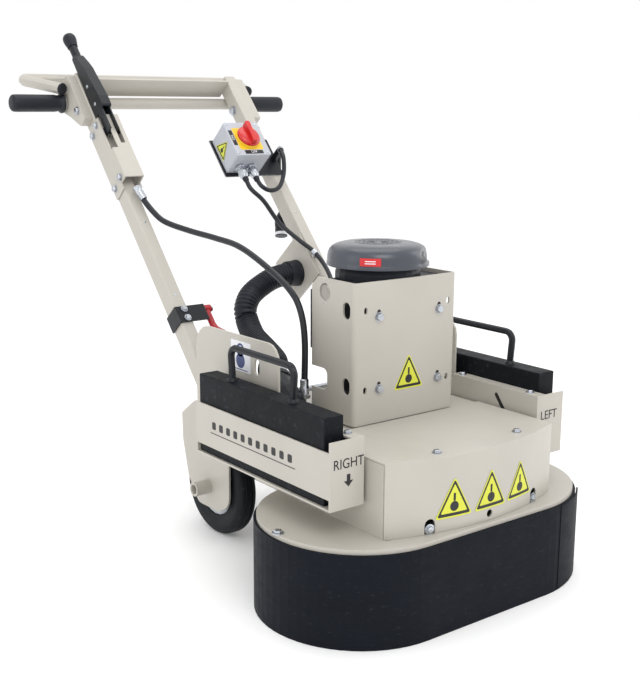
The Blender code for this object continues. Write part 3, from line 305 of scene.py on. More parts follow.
class Shape:
    """A mesh under construction in one of the two frames."""

    def __init__(self, place=MACHINE):
        self.bm = bmesh.new()
        self.place = place

    def _set(self, verts, at, axis, turn):
        spin = axis if isinstance(axis, Matrix) else AXES[axis]
        spin = spin @ Matrix.Rotation(turn, 3, "Z")
        for vert in verts:
            vert.co = spin @ vert.co + Vector(at)

    def revolve(self, profile, at, axis="Z", sides=32, turn=0.0):
        """Profile of (radius, height) pairs turned about the axis. A radius of 0 is a point on it."""
        rings = []
        for radius, height in profile:
            if radius == 0.0:
                rings.append([self.bm.verts.new((0.0, 0.0, height))])
                continue
            rings.append([
                self.bm.verts.new((radius * cos(a), radius * sin(a), height))
                for a in (2 * pi * step / sides for step in range(sides))
            ])
        closed = all(radius > 0.0 for radius, height in profile)
        faces = []
        for first, second in zip(rings, rings[1:] + (rings[:1] if closed else [])):
            for step in range(sides):
                after = (step + 1) % sides
                if len(first) == len(second) == 1:
                    continue
                if len(first) == 1:
                    faces.append(self.bm.faces.new((first[0], second[step], second[after])))
                elif len(second) == 1:
                    faces.append(self.bm.faces.new((first[step], second[0], first[after])))
                else:
                    faces.append(self.bm.faces.new((first[step], second[step], second[after], first[after])))
        bmesh.ops.recalc_face_normals(self.bm, faces=faces)
        self._set([vert for ring in rings for vert in ring], at, axis, turn)

    def tube(self, inner, outer, low, high, at, axis="Z", sides=28, turn=0.0):
        """A plain ring between two radii and two heights."""
        self.revolve([(inner, low), (outer, low), (outer, high), (inner, high)], at, axis, sides, turn)

    def prism(self, outline, low, high, at=(0.0, 0.0, 0.0), axis="Z", turn=0.0, holes=()):
        """A plate with that outline between two heights along the axis. Holes are outlines too."""
        loops = [outline, *holes]
        sides = []
        verts = []
        edges = {low: [], high: []}
        for loop in loops:
            rings = {height: [self.bm.verts.new((x, y, height)) for x, y in loop] for height in (low, high)}
            verts += rings[low] + rings[high]
            for step in range(len(loop)):
                after = (step + 1) % len(loop)
                sides.append(self.bm.faces.new(
                    (rings[low][step], rings[low][after], rings[high][after], rings[high][step])))
                for height in (low, high):
                    edges[height].append(self.bm.edges.get((rings[height][step], rings[height][after])))
        faces = list(sides)
        for height in (low, high):
            if holes:
                made = bmesh.ops.triangle_fill(self.bm, use_beauty=True, edges=edges[height])
                faces += [item for item in made["geom"] if isinstance(item, bmesh.types.BMFace)]
            else:
                made = bmesh.ops.contextual_create(self.bm, geom=edges[height])
                faces += made["faces"]
        bmesh.ops.recalc_face_normals(self.bm, faces=faces)
        self._set(verts, at, axis, turn)

    def bolt(self, at, axis, flats=0.013, height=0.0055, washer=0.0095):
        """A hexagon head on a washer, seated at a place and facing along the axis."""
        seat = 0.0014
        self.tube(washer * 0.45, washer, 0.0, seat, at, axis, 24)
        corner = flats / sqrt(3.0)
        top = height + seat * 0.4
        self.revolve([(corner * 0.94, seat), (corner, seat + 0.0005), (corner, height - 0.0008),
                      (corner * 0.86, top), (0.0, top)], at, axis, 6, 0.3)

    def screw(self, at, axis, radius=0.0035, height=0.0016):
        """A low domed screw head."""
        self.revolve([(radius, 0.0), (radius * 0.95, height * 0.5), (radius * 0.6, height * 0.9),
                      (0.0, height)], at, axis, 20)

    def sweep(self, points, radius, sides=12):
        """A capped tube through the points. The radius is one number, or one for each point."""
        radii = radius if isinstance(radius, (list, tuple)) else [radius] * len(points)
        points = [Vector(point) for point in points]
        ahead = [(b - a).normalized() for a, b in zip(points, points[1:])]
        ahead = [ahead[0]] + [(a + b).normalized() for a, b in zip(ahead, ahead[1:])] + [ahead[-1]]
        across = ahead[0].orthogonal().normalized()
        rings = []
        for index, (point, direction) in enumerate(zip(points, ahead)):
            if index:
                across = ahead[index - 1].rotation_difference(direction) @ across
            across = (across - direction * across.dot(direction)).normalized()
            other = direction.cross(across)
            rings.append([
                self.bm.verts.new(point + (across * cos(a) + other * sin(a)) * radii[index])
                for a in (2 * pi * step / sides for step in range(sides))
            ])
        faces = []
        for first, second in zip(rings, rings[1:]):
            for step in range(sides):
                after = (step + 1) % sides
                faces.append(self.bm.faces.new((first[step], first[after], second[after], second[step])))
        faces += [self.bm.faces.new(rings[0][::-1]), self.bm.faces.new(rings[-1])]
        bmesh.ops.recalc_face_normals(self.bm, faces=faces)

    def sliced(self, step, low, high):
        """Cuts the mesh across at every step along X, so that it can follow a curve."""
        count = max(1, round((high - low) / step))
        for index in range(1, count):
            x = low + (high - low) * index / count
            geometry = list(self.bm.verts) + list(self.bm.edges) + list(self.bm.faces)
            bmesh.ops.bisect_plane(self.bm, geom=geometry, plane_co=(x, 0.0, 0.0), plane_no=(1.0, 0.0, 0.0))

    def hardware(self, name, body="machine"):
        """Finished as plated bolts, nuts, screws or rivets."""
        self.done(name, body, zinc)

    def done(self, name, body, material, bevel=0.0, smooth=35.0, segments=2):
        """The finished piece, in the world's frame, riding on its body."""
        mesh = bpy.data.meshes.new(name)
        self.bm.to_mesh(mesh)
        self.bm.free()
        mesh.transform(self.place)
        mesh.shade_smooth()
        mesh.set_sharp_from_angle(angle=radians(smooth))
        mesh.materials.append(material)
        piece = placed(name, mesh)
        if bevel:
            soften = piece.modifiers.new("Bevel", "BEVEL")
            soften.width = bevel
            soften.segments = segments
            soften.limit_method = "ANGLE"
            soften.angle_limit = radians(35.0)
        if body:
            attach(piece, body)
        return piece


def circle(x, y, radius, sides=24):
    return [(x + radius * cos(2 * pi * step / sides), y + radius * sin(2 * pi * step / sides))
            for step in range(sides)]


def rounded(corners, steps=5):
    """An outline from corners (x, y, radius), with an arc at each."""
    points = []
    for index, (x, y, radius) in enumerate(corners):
        here = Vector((x, y))
        if radius == 0.0:
            points.append((x, y))
            continue
        before = (Vector(corners[index - 1][:2]) - here).normalized()
        after = (Vector(corners[(index + 1) % len(corners)][:2]) - here).normalized()
        half = before.angle(after) / 2
        reach = radius / tan(half)
        centre = here + (before + after).normalized() * (radius / sin(half))
        start = here + before * reach - centre
        end = here + after * reach - centre
        sweep = start.angle_signed(end)
        for step in range(steps + 1):
            turn = -sweep * step / steps
            points.append((centre.x + start.x * cos(turn) - start.y * sin(turn),
                           centre.y + start.x * sin(turn) + start.y * cos(turn)))
    return points


def rectangle(x, y, radius=0.0):
    return rounded([(x[0], y[0], radius), (x[1], y[0], radius), (x[1], y[1], radius), (x[0], y[1], radius)])


def smooth_path(route, spacing):
    """Points a set distance apart along a smooth curve through the route's own points."""
    knots = [Vector(point) for point in route]
    knots = [2 * knots[0] - knots[1]] + knots + [2 * knots[-1] - knots[-2]]
    fine = []
    for a, b, c, d in zip(knots, knots[1:], knots[2:], knots[3:]):
        for step in range(24):
            t = step / 24
            fine.append(0.5 * (2 * b + (c - a) * t + (2 * a - 5 * b + 4 * c - d) * t ** 2
                               + (3 * b - 3 * c + d - a) * t ** 3))
    fine.append(knots[-2])
    total = sum((b - a).length for a, b in zip(fine, fine[1:]))
    count = max(2, round(total / spacing))
    points = [fine[0]]
    walked = 0.0
    leg = 0
    for index in range(1, count):
        goal = total * index / count
        while walked + (fine[leg + 1] - fine[leg]).length < goal:
            walked += (fine[leg + 1] - fine[leg]).length
            leg += 1
        share = (goal - walked) / (fine[leg + 1] - fine[leg]).length
        points.append(fine[leg].lerp(fine[leg + 1], share))
    points.append(fine[-1])
    return points


# -------- hose, cable and cords

HOSE_R = 0.0255
HOSE_ROUTE = [
    (0.1715, 0.618, 0.4839), (0.145, 0.6185, 0.483), (0.112, 0.62, 0.477), (0.0816, 0.62, 0.4644),
    (0.052, 0.613, 0.451), (0.03, 0.6, 0.4385), (0.0165, 0.59, 0.42), (0.0138, 0.58, 0.3988),
    (0.005, 0.552, 0.381), (-0.006, 0.52, 0.371), (-0.026, 0.45, 0.36), (-0.066, 0.36, 0.357),
    (-0.098, 0.329, 0.356), (-0.1188, 0.2974, 0.353), (-0.1321, 0.2623, 0.3469),
]
CABLE_ROUTE = [
    (-0.188, 0.683, 0.683), (-0.185, 0.672, 0.668), (-0.176, 0.642, 0.64), (-0.165, 0.612, 0.6205),
    (-0.15, 0.538, 0.6075), (-0.14, 0.46, 0.6), (-0.135, 0.378, 0.59), (-0.13, 0.291, 0.559),
    (-0.128, 0.224, 0.526), (-0.127, 0.194, 0.4935), (-0.127, 0.18, 0.44), (-0.127, 0.181, 0.345),
]
LEAD_ROUTE = [
    (0.078, 0.6756, 0.6956), (0.08, 0.658, 0.675), (0.105, 0.645, 0.648), (0.135, 0.627, 0.599),
    (0.16, 0.59, 0.564), (0.18, 0.555, 0.537), (0.176, 0.505, 0.505), (0.145, 0.44, 0.475),
    (0.105, 0.365, 0.452), (0.07, 0.305, 0.443), (0.04, 0.2665, 0.4425),
]
POWER_ROUTE = [
    (0.107, 0.6756, 0.6956), (0.11, 0.66, 0.68), (0.13, 0.655, 0.67), (0.156, 0.656, 0.677),
    (0.178, 0.67, 0.706), (0.19, 0.688, 0.74), (0.201, 0.715, 0.756), (0.218, 0.743, 0.752),
    (0.2255, 0.756, 0.725), (0.224, 0.752, 0.685), (0.218, 0.74, 0.645), (0.21, 0.727, 0.612),
]


def cord_piece(name, route, radius, spacing, start):
    """A plain round cord with its own length. It stays fixed in place when given a start, or rides the handle
    without one.
    """
    points = smooth_path(route, spacing)
    shape = Shape()
    shape.sweep(points, radius, 14)
    piece = shape.done(name + "_jacket", None, cord_jacket, smooth=50.0)
    if start is None:
        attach(piece, "handle")
    else:
        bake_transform(piece)
    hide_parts(name)


def make_hose():
    """The ribbed vacuum hose: a rounded rib every 7.5 mm on a thinner wall."""
    pitch, steps, groove = 0.0075, 6, 0.0028
    points = smooth_path(HOSE_ROUTE, pitch / steps)
    radii = [HOSE_R - groove * (0.5 - 0.5 * cos(2 * pi * index / steps)) ** 1.6
             for index in range(len(points))]
    shape = Shape()
    shape.sweep(points, radii, 36)
    hose = shape.done("vacuum_hose_ribbed", None, hose_rubber, smooth=80.0)
    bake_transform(hose)
    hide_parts("vacuum_hose")


def make_cords():
    make_hose()
    cord_piece("control_cable", CABLE_ROUTE, 0.006, 0.007, CABLE_ROUTE[-1])
    cord_piece("motor_lead", LEAD_ROUTE, 0.005, 0.006, LEAD_ROUTE[-1])
    cord_piece("power_cord", POWER_ROUTE, 0.005, 0.005, None)


# -------- labels

def triangle(size, radius=0.0):
    """An upright triangle about its middle, size along its foot."""
    rise = size * 0.92
    foot, top = -rise * 0.42, rise * 0.58
    return rounded([(-size / 2, foot, radius), (size / 2, foot, radius), (0.0, top, radius)], 4)


def triangle_label(name, place, put, size, body):
    """A yellow triangle with a black border and a made-up mark. put moves its points into the frame."""
    layers = (
        ("ground", yellow, [(triangle(size, size * 0.04), [])], 0.0, PROUD),
        ("border", ink, [(triangle(size * 0.9, size * 0.03), [triangle(size * 0.72, size * 0.02)])],
         PROUD * 0.5, PROUD * 1.4),
        ("symbol", ink, [(circle(0.0, -size * 0.13, size * 0.115), []),
                         (rectangle((-size * 0.03, size * 0.03), (-size * 0.01, size * 0.17), size * 0.01),
                          [])],
         PROUD * 0.5, PROUD * 1.4),
    )
    for part, material, shapes, low, high in layers:
        shape = Shape(place)
        for outline, holes in shapes:
            shape.prism(outline, low, high, holes=holes)
        shape.sliced(0.006, -size / 2, size / 2)
        for vert in shape.bm.verts:
            vert.co = put(vert.co)
        bmesh.ops.recalc_face_normals(shape.bm, faces=shape.bm.faces)
        shape.done(name + "_" + part, body, material)


def lettering(name, words, size, place, body, material=ink):
    """Raised flat letters, centred on the place's own XY plane."""
    curve = bpy.data.curves.new(name, "FONT")
    curve.body = words
    curve.size = size
    curve.extrude = PROUD / 2
    curve.align_x = "CENTER"
    curve.align_y = "CENTER"
    source = placed(name, curve)
    bpy.context.view_layer.update()
    mesh = bpy.data.meshes.new_from_object(source.evaluated_get(bpy.context.evaluated_depsgraph_get()))
    bpy.data.objects.remove(source)
    bm = bmesh.new()
    bm.from_mesh(mesh)
    bmesh.ops.remove_doubles(bm, verts=bm.verts, dist=0.000001)
    bm.to_mesh(mesh)
    bm.free()
    mesh.transform(place)
    mesh.materials.clear()
    mesh.materials.append(material)
    piece = placed(name, mesh)
    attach(piece, body)


def facing(place, at, along, up):
    """A frame whose X runs along, Y up and Z out of the surface, at a point of the machine or the handle."""
    along, up = Vector(along).normalized(), Vector(up).normalized()
    out = along.cross(up)
    return place @ Matrix.Translation(at) @ Matrix((along, up, out)).transposed().to_4x4()


# -------- deck and belt cover

COVER_ARC = (0.0, 0.364, 0.532)   # the cover's curved face: its centre and radius, seen from above


def on_cover(point, middle_x, middle_z):
    """Lays a flat label's point on the cover's curved face: x runs along the arc and z stands off it."""
    x0, y0, radius = COVER_ARC
    angle = (middle_x + point.x) / radius
    reach = radius + PROUD + point.z
    return Vector((x0 + reach * sin(angle), y0 - reach * cos(angle), middle_z + point.y))


def make_deck_details():
    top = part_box("deck_plate")[1].z
    shape = Shape()
    for x in (-0.316, 0.316):
        shape.bolt((x, -0.001, top), "Z", 0.013, 0.005, 0.0105)
    shape.hardware("deck_bolts")

    disc_x, skirt_r, steps = 0.144, 0.1828, 18
    start, end = radians(-80.0), radians(-45.6)
    inside, outside = [], []
    for step in range(steps + 1):
        share = step / steps
        angle = start + (end - start) * share
        for line, gap in ((inside, 0.0002 + 0.0016 * share ** 3), (outside, 0.0008 + 0.0044 * share ** 1.6)):
            line.append((disc_x + (skirt_r + gap) * cos(angle), (skirt_r + gap) * sin(angle)))
    shape = Shape()
    shape.prism(outside + inside[::-1], 0.002, 0.1625)
    shape.done("deck_skirt_lap", "machine", skirt_rubber, bevel=0.0006)


def make_cover_details():
    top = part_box("belt_guard_cover")[1].z
    x0, y0, radius = COVER_ARC
    shape = Shape()
    for x, y in ((-0.0905, -0.135), (0.104, -0.131)):
        shape.bolt((x, y, top), "Z", 0.011, 0.005, 0.0085)
    for x in (-0.12, 0.131):
        angle = asin(x / radius)
        out = Vector((sin(angle), -cos(angle), 0.0))
        side = Vector((cos(angle), sin(angle), 0.0))
        spin = Matrix((side, Vector((0.0, 0.0, 1.0)), out)).transposed()
        at = Vector((x0, y0, 0.1795)) + out * (radius - 0.0018)
        shape.bolt(at, spin, 0.011, 0.005, 0.0088)
    shape.hardware("cover_bolts")
    for number, (x, size) in enumerate(((-0.0747, 0.0755), (0.0062, 0.0755), (0.0835, 0.0725)), 1):
        triangle_label(f"cover_label_{number}", MACHINE, lambda point: on_cover(point, x, 0.2225), size,
                       "machine")

    shape = Shape()
    shape.prism(rectangle((-0.196, -0.183), (0.1725, 0.1755), 0.001), 0.0, 0.0012,
                (0.0, -0.1335, 0.0), "Y")
    shape.done("cover_tab", "machine", powder)


# -------- motor

def make_motor_details():
    x, y = 0.012, 0.142
    low, high = 0.572, 0.614
    shape = Shape()
    r = 0.0945
    outside = [
        (0.0, high - 0.001), (0.02, high - 0.0006), (0.045, high - 0.0007), (0.06, high - 0.0012),
        (0.07, high - 0.0023), (0.079, high - 0.0048), (0.0852, high - 0.0084), (0.0896, high - 0.0134),
        (0.0922, high - 0.0196), (0.0934, high - 0.027), (0.0936, low + 0.01), (0.0937, low + 0.0072),
        (r, low + 0.006), (r, low + 0.0006), (r - 0.0008, low),
    ]
    inside = [(r - 0.003, low), (r - 0.0035, low + 0.007), (0.0895, high - 0.028), (0.084, high - 0.015),
              (0.074, high - 0.0085), (0.05, high - 0.005), (0.0, high - 0.0048)]
    shape.revolve(outside + inside, (x, y, 0.0), sides=96)
    flat_angle, flat_reach = radians(-52.0), 0.083      # a flat pressed into the dome's side
    normal = Vector((cos(flat_angle), sin(flat_angle), 0.0))
    for vert in shape.bm.verts:
        spoke = Vector((vert.co.x - x, vert.co.y - y, 0.0))
        depth = spoke.dot(normal)
        aside = abs(spoke.cross(normal).z)
        if depth > flat_reach and aside < 0.036 and low + 0.0065 < vert.co.z < high - 0.0045:
            vert.co -= normal * (depth - flat_reach)
    cover = shape.done("motor_fan_cover_dome", "machine", cover_plastic, smooth=42.0)
    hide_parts("motor_fan_cover")

    shape = Shape()
    for ring_r in (0.022, 0.031, 0.04):
        shape.revolve([(ring_r - 0.0008, high - 0.0016), (ring_r - 0.0008, high - 0.0003),
                       (ring_r + 0.0008, high - 0.0003), (ring_r + 0.0008, high - 0.0016)],
                      (x, y, 0.0), sides=48)
    for step in range(12):
        angle = 2 * pi * step / 12
        shape.prism(rectangle((0.008, 0.044), (-0.0009, 0.0009)), high - 0.0016, high - 0.0002, (x, y, 0.0),
                    "Z", angle)
    shape.done("motor_fan_grille", "machine", cover_plastic, bevel=0.0003)

    def curved(first, last, near, far):
        """An outline round the cover's side, from one ninth of the label to another."""
        angles = [radians(-150.0 + 23.0 * step / 8) for step in range(first, last)]
        return ([(x + far * cos(a), y + far * sin(a)) for a in angles]
                + [(x + near * cos(a), y + near * sin(a)) for a in angles[::-1]])

    shape = Shape()
    shape.prism(curved(0, 9, r - 0.0008, r + PROUD), low + 0.0085, low + 0.0225)
    shape.done("fan_cover_label", "machine", red_label)
    shape = Shape()
    for z in (0.0125, 0.0165):
        shape.prism(curved(2, 7, r - 0.0002, r + 2 * PROUD), low + z, low + z + 0.0016)
    shape.done("fan_cover_label_lines", "machine", white)

    face_y = 0.058
    shape = Shape()
    slots = Shape()
    for bolt_x, bolt_z in ((-0.055, 0.4935), (0.0895, 0.4925), (-0.053, 0.3625), (0.0895, 0.3635)):
        shape.bolt((bolt_x, face_y, bolt_z), "Y", 0.013, 0.0058, 0.0088)
        slots.prism(rectangle((-0.0038, 0.0038), (-0.009, 0.009), 0.0037), 0.0, THIN,
                    (bolt_x, face_y, bolt_z + 0.0045), "Y")
    shape.hardware("bracket_bolts")
    slots.done("bracket_bolt_slots", "machine", ink)

    triangle_label("bracket_label", MACHINE, lambda point: Vector(
        (0.018 + point.x, face_y - point.z, 0.3805 + point.y)), 0.07, "machine")

    # Thin dark strips standing off the rear edges of the bracket's two sides.
    shape = Shape()
    for wide in ((-0.1112, -0.1048), (0.1268, 0.1332)):
        shape.prism(rectangle(wide, (0.1812, 0.1845), 0.0012), 0.424, 0.532)
    shape.done("bracket_rear_dark_strips", "machine", grip_rubber)


# -------- trays, weights and side plates

def make_tray_details():
    for name, side, _ in SIDES:
        low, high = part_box("tray_" + name)
        outer = (low.x - 0.0002 if side < 0 else high.x - 0.0001, 0.0, 0.0)
        shape = Shape()
        for step in range(11):   # a row of plain slots where the wall is cut for its badge, and a line under it
            y = 0.256 - 0.0235 * step
            shape.prism(rectangle((y - 0.0062, y + 0.0062), (0.2785, 0.2925), 0.003), 0.0, THIN, outer, "X")
        shape.prism(rectangle((0.006, 0.268), (0.27, 0.2716), 0.0007), 0.0, THIN, outer, "X")
        shape.done("tray_slots_" + name, "machine", ink)

        middle, front_y = side * 0.238, low.y - SHIFT_Y
        place = facing(MACHINE, (middle, front_y - PROUD / 2, 0.2985), (1.0, 0.0, 0.0), (0.0, 0.0, 1.0))
        lettering("tray_word_" + name, name.upper(), 0.0235, place @ Matrix.Scale(0.92, 4, (1.0, 0.0, 0.0)),
                  "machine")
        shape = Shape()
        shape.prism([(-0.0035, 0.01), (0.0035, 0.01), (0.0035, -0.001), (0.0095, -0.001), (0.0, -0.011),
                     (-0.0095, -0.001), (-0.0035, -0.001)], 0.0, PROUD, (middle, front_y, 0.2705), "Y")
        shape.done("tray_arrow_" + name, "machine", ink)

        shape = Shape()
        for y in (-0.058, 0.118):
            shape.bolt((side * 0.2175, y, 0.338), "Z", 0.01, 0.0048, 0.0078)
        shape.hardware("tray_bolts_" + name)
        lean = Matrix.Rotation(radians(-38.0), 2)
        shape = Shape()
        shape.prism([lean @ Vector(point) for point in rectangle((-0.004, 0.004), (-0.019, 0.019), 0.0039)],
                    -0.0002, 0.0002, (side * 0.206, 0.0065, 0.3085), "X")
        shape.done("tray_wall_slot_" + name, "machine", ink)


def make_weight_details():
    for name, front in (("right", 0.04), ("left", 0.022)):
        low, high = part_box("weight_" + name)
        shape = Shape()
        for y in (front + 0.0045, front + 0.1895):
            shape.revolve([(0.0066, 0.0), (0.0104, 0.0), (0.0098, 0.0022), (0.007, 0.0052), (0.0066, 0.0052)],
                          ((low.x + high.x) / 2, y, high.z), sides=20)
        shape.done("weight_handle_welds_" + name, name + "_weight", black_paint)


def make_side_details():
    for name, side, outward in SIDES:
        shape = Shape()
        shape.revolve([(0.0112, 0.0), (0.0138, 0.0), (0.0142, 0.0008), (0.0108, 0.0008)],
                      (side * 0.2188, AXLE_Y, AXLE_Z), outward, 28)
        shape.done("axle_boss_rim_" + name, "machine", powder)
        shape = Shape()
        shape.bolt((side * 0.2166, FOLD_Y, FOLD_Z), outward, 0.019, 0.0075, 0.0135)
        shape.hardware("pivot_rod_nut_" + name)

    at = (-0.2165, 0.0, 0.0)
    shape = Shape()
    shape.prism(rectangle((0.2235, 0.2875), (0.38, 0.436), 0.002), -PROUD, 0.0, at, "X")
    shape.done("side_label", "machine", white)
    shape = Shape()
    for outline, holes in ((circle(0.256, 0.42, 0.0125), [circle(0.256, 0.42, 0.0085)]),
                           (circle(0.256, 0.4, 0.014), []),
                           (rectangle((0.233, 0.28), (0.3828, 0.3842)), [])):
        shape.prism(outline, -2 * PROUD, -0.5 * PROUD, at, "X", holes=holes)
    shape.done("side_label_marks", "machine", blue)


def make_tyres():
    for name, _, _ in SIDES:
        low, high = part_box("wheel_tyre_" + name)
        middle, r, half = (low.x + high.x) / 2, (high.z - low.z) / 2, (high.x - low.x) / 2
        profile = [(0.0622, half - 0.004), (0.066, half - 0.0026), (0.07, half - 0.003), (0.074, half - 0.0012),
                   (0.084, half - 0.0004), (0.09, half), (0.0915, half - 0.0012), (0.0935, half - 0.0006),
                   (0.097, half - 0.003), (r - 0.0022, half - 0.0062), (r - 0.0008, half - 0.009)]
        tread = []
        for step in range(5):
            centre = -(half - 0.0145) + step * (2 * half - 0.029) / 4
            tread += [(r, centre + 0.0021), (r - 0.003, centre + 0.0016), (r - 0.003, centre - 0.0016),
                      (r, centre - 0.0021)]
        tread = sorted(tread, key=lambda pair: -pair[1])
        other = [(radius, -height) for radius, height in profile][::-1]
        shape = Shape()
        shape.revolve(profile + tread + other, (middle, AXLE_Y, AXLE_Z), "X", 72)
        tyre = shape.done("wheel_tyre_ribbed_" + name, name + "_wheel", tyre_rubber,
                          smooth=30.0)
        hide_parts("wheel_tyre_" + name)


# -------- handle

def aim(direction):
    """A turn that points a shape's own Z along the direction."""
    return Vector(direction).normalized().to_track_quat("Z", "Y").to_matrix()


def make_handle_details():
    loop_front, loop_rear = Vector((0.2417, 0.9145, 0.8893)), Vector((0.29, 1.04, 0.9116))
    for name, side, outward in SIDES:
        mirror = Matrix.Diagonal((side, 1.0, 1.0))
        end = mirror @ loop_front
        out = end - mirror @ loop_rear
        shape = Shape()
        shape.revolve([(0.01, -0.006), (0.0132, 0.0), (0.0132, 0.0012), (0.0115, 0.003), (0.006, 0.004),
                       (0.0, 0.0042)], end, aim(out), 32)
        shape.done("loop_end_plug_" + name, "handle", grip_rubber, smooth=50.0)

        inner, outer, r = 0.2348, 0.3532, 0.0185
        shape = Shape(HANDLE)
        profile = [(0.0132, inner), (r + 0.0026, inner), (r + 0.0032, inner + 0.0015),
                   (r + 0.0026, inner + 0.005), (r - 0.0004, inner + 0.0075), (r - 0.0012, inner + 0.012),
                   (r, inner + 0.02), (r + 0.0002, outer - 0.02), (r, outer - 0.0075),
                   (r - 0.0012, outer - 0.0032), (r - 0.0045, outer - 0.0006), (0.0085, outer), (0.0, outer)]
        shape.revolve(profile, (0.0, 0.0345, 0.799), outward, 48)
        grip = shape.done("grip_moulded_" + name, "handle", grip_rubber, smooth=50.0)
        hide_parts("grip_" + name)

    shape = Shape(HANDLE)
    for y, z in ((-0.0014, 0.7456), (0.03, 0.824)):
        for _, side, outward in SIDES:
            shape.bolt((side * 0.2289, y, z), outward, 0.013, 0.0055, 0.009)
    for y, z in ((-0.0205, 0.687), (0.006, 0.6804), (-0.0284, 0.5407), (0.0061, 0.5378)):
        shape.bolt((-0.2126, y, z), "-X", 0.012, 0.0055, 0.0085)
    shape.bolt((0.1806, 0.0076, 0.7539), "-X", 0.0165, 0.0068, 0.0118)
    for y, z in ((-0.008, 0.705), (-0.008, 0.684)):
        shape.bolt((0.2088, y, z), "X", 0.011, 0.005, 0.008)
    shape.hardware("handle_bolts", "handle")

    shape = Shape(HANDLE)
    for side in (-1, 1):
        for z in (0.43, 0.248):
            shape.screw((side * 0.1947, -0.0195, z), "Y", 0.0028, 0.0012)
    shape.hardware("upright_rivets", "handle")


def make_lever_details():
    shape = Shape(HANDLE)
    for y, z in ((-0.0385, 0.7811), (-0.0404, 0.7307)):
        shape.screw((-0.206, y, z), "-X", 0.0042, 0.0018)
    shape.hardware("lever_rivets", "tension_lever")

    shape = Shape(HANDLE)
    x, y = -0.1953, -0.032
    shape.revolve([(0.0, 0.9365), (0.004, 0.9364), (0.0085, 0.9356), (0.012, 0.9334), (0.0139, 0.93),
                   (0.0147, 0.925), (0.0147, 0.9215), (0.0141, 0.917), (0.013, 0.911), (0.0118, 0.906),
                   (0.0112, 0.9012), (0.0, 0.9012)], (x, y, 0.0), sides=48)
    knob = shape.done("lever_knob_moulded", "adjuster_knob", grip_rubber, smooth=50.0)
    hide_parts("lever_knob")

    start = Vector(CABLE_ROUTE[0])
    down = (Vector(CABLE_ROUTE[2]) - start).normalized()
    seat = start - down * 0.006
    shape = Shape()
    shape.tube(0.0062, 0.0092, 0.0, 0.008, seat, aim(down), 6)
    shape.revolve([(0.0062, 0.008), (0.0082, 0.008), (0.0082, 0.018), (0.0076, 0.0195), (0.0076, 0.029),
                   (0.0068, 0.032), (0.0062, 0.032)], seat, aim(down), 28)
    shape.done("cable_top_fitting", "handle", zinc)

    end = Vector(CABLE_ROUTE[-1])
    shape = Shape()
    shape.revolve([(0.0062, 0.0), (0.009, 0.0), (0.009, 0.012), (0.008, 0.014), (0.008, 0.027),
                   (0.0062, 0.0285)], end + Vector((0.0, 0.0, -0.006)), "Z", 28)
    shape.revolve([(0.004, 0.0), (0.004, -0.043), (0.0, -0.043), (0.0, 0.0)], end + Vector((0.0, 0.0, -0.004)),
                  "Z", 16)
    shape.prism(rectangle((-0.01, 0.01), (-0.0065, 0.0065), 0.0015), -0.015, -0.008, end, "Z")
    shape.done("cable_bottom_fitting", "machine", zinc)


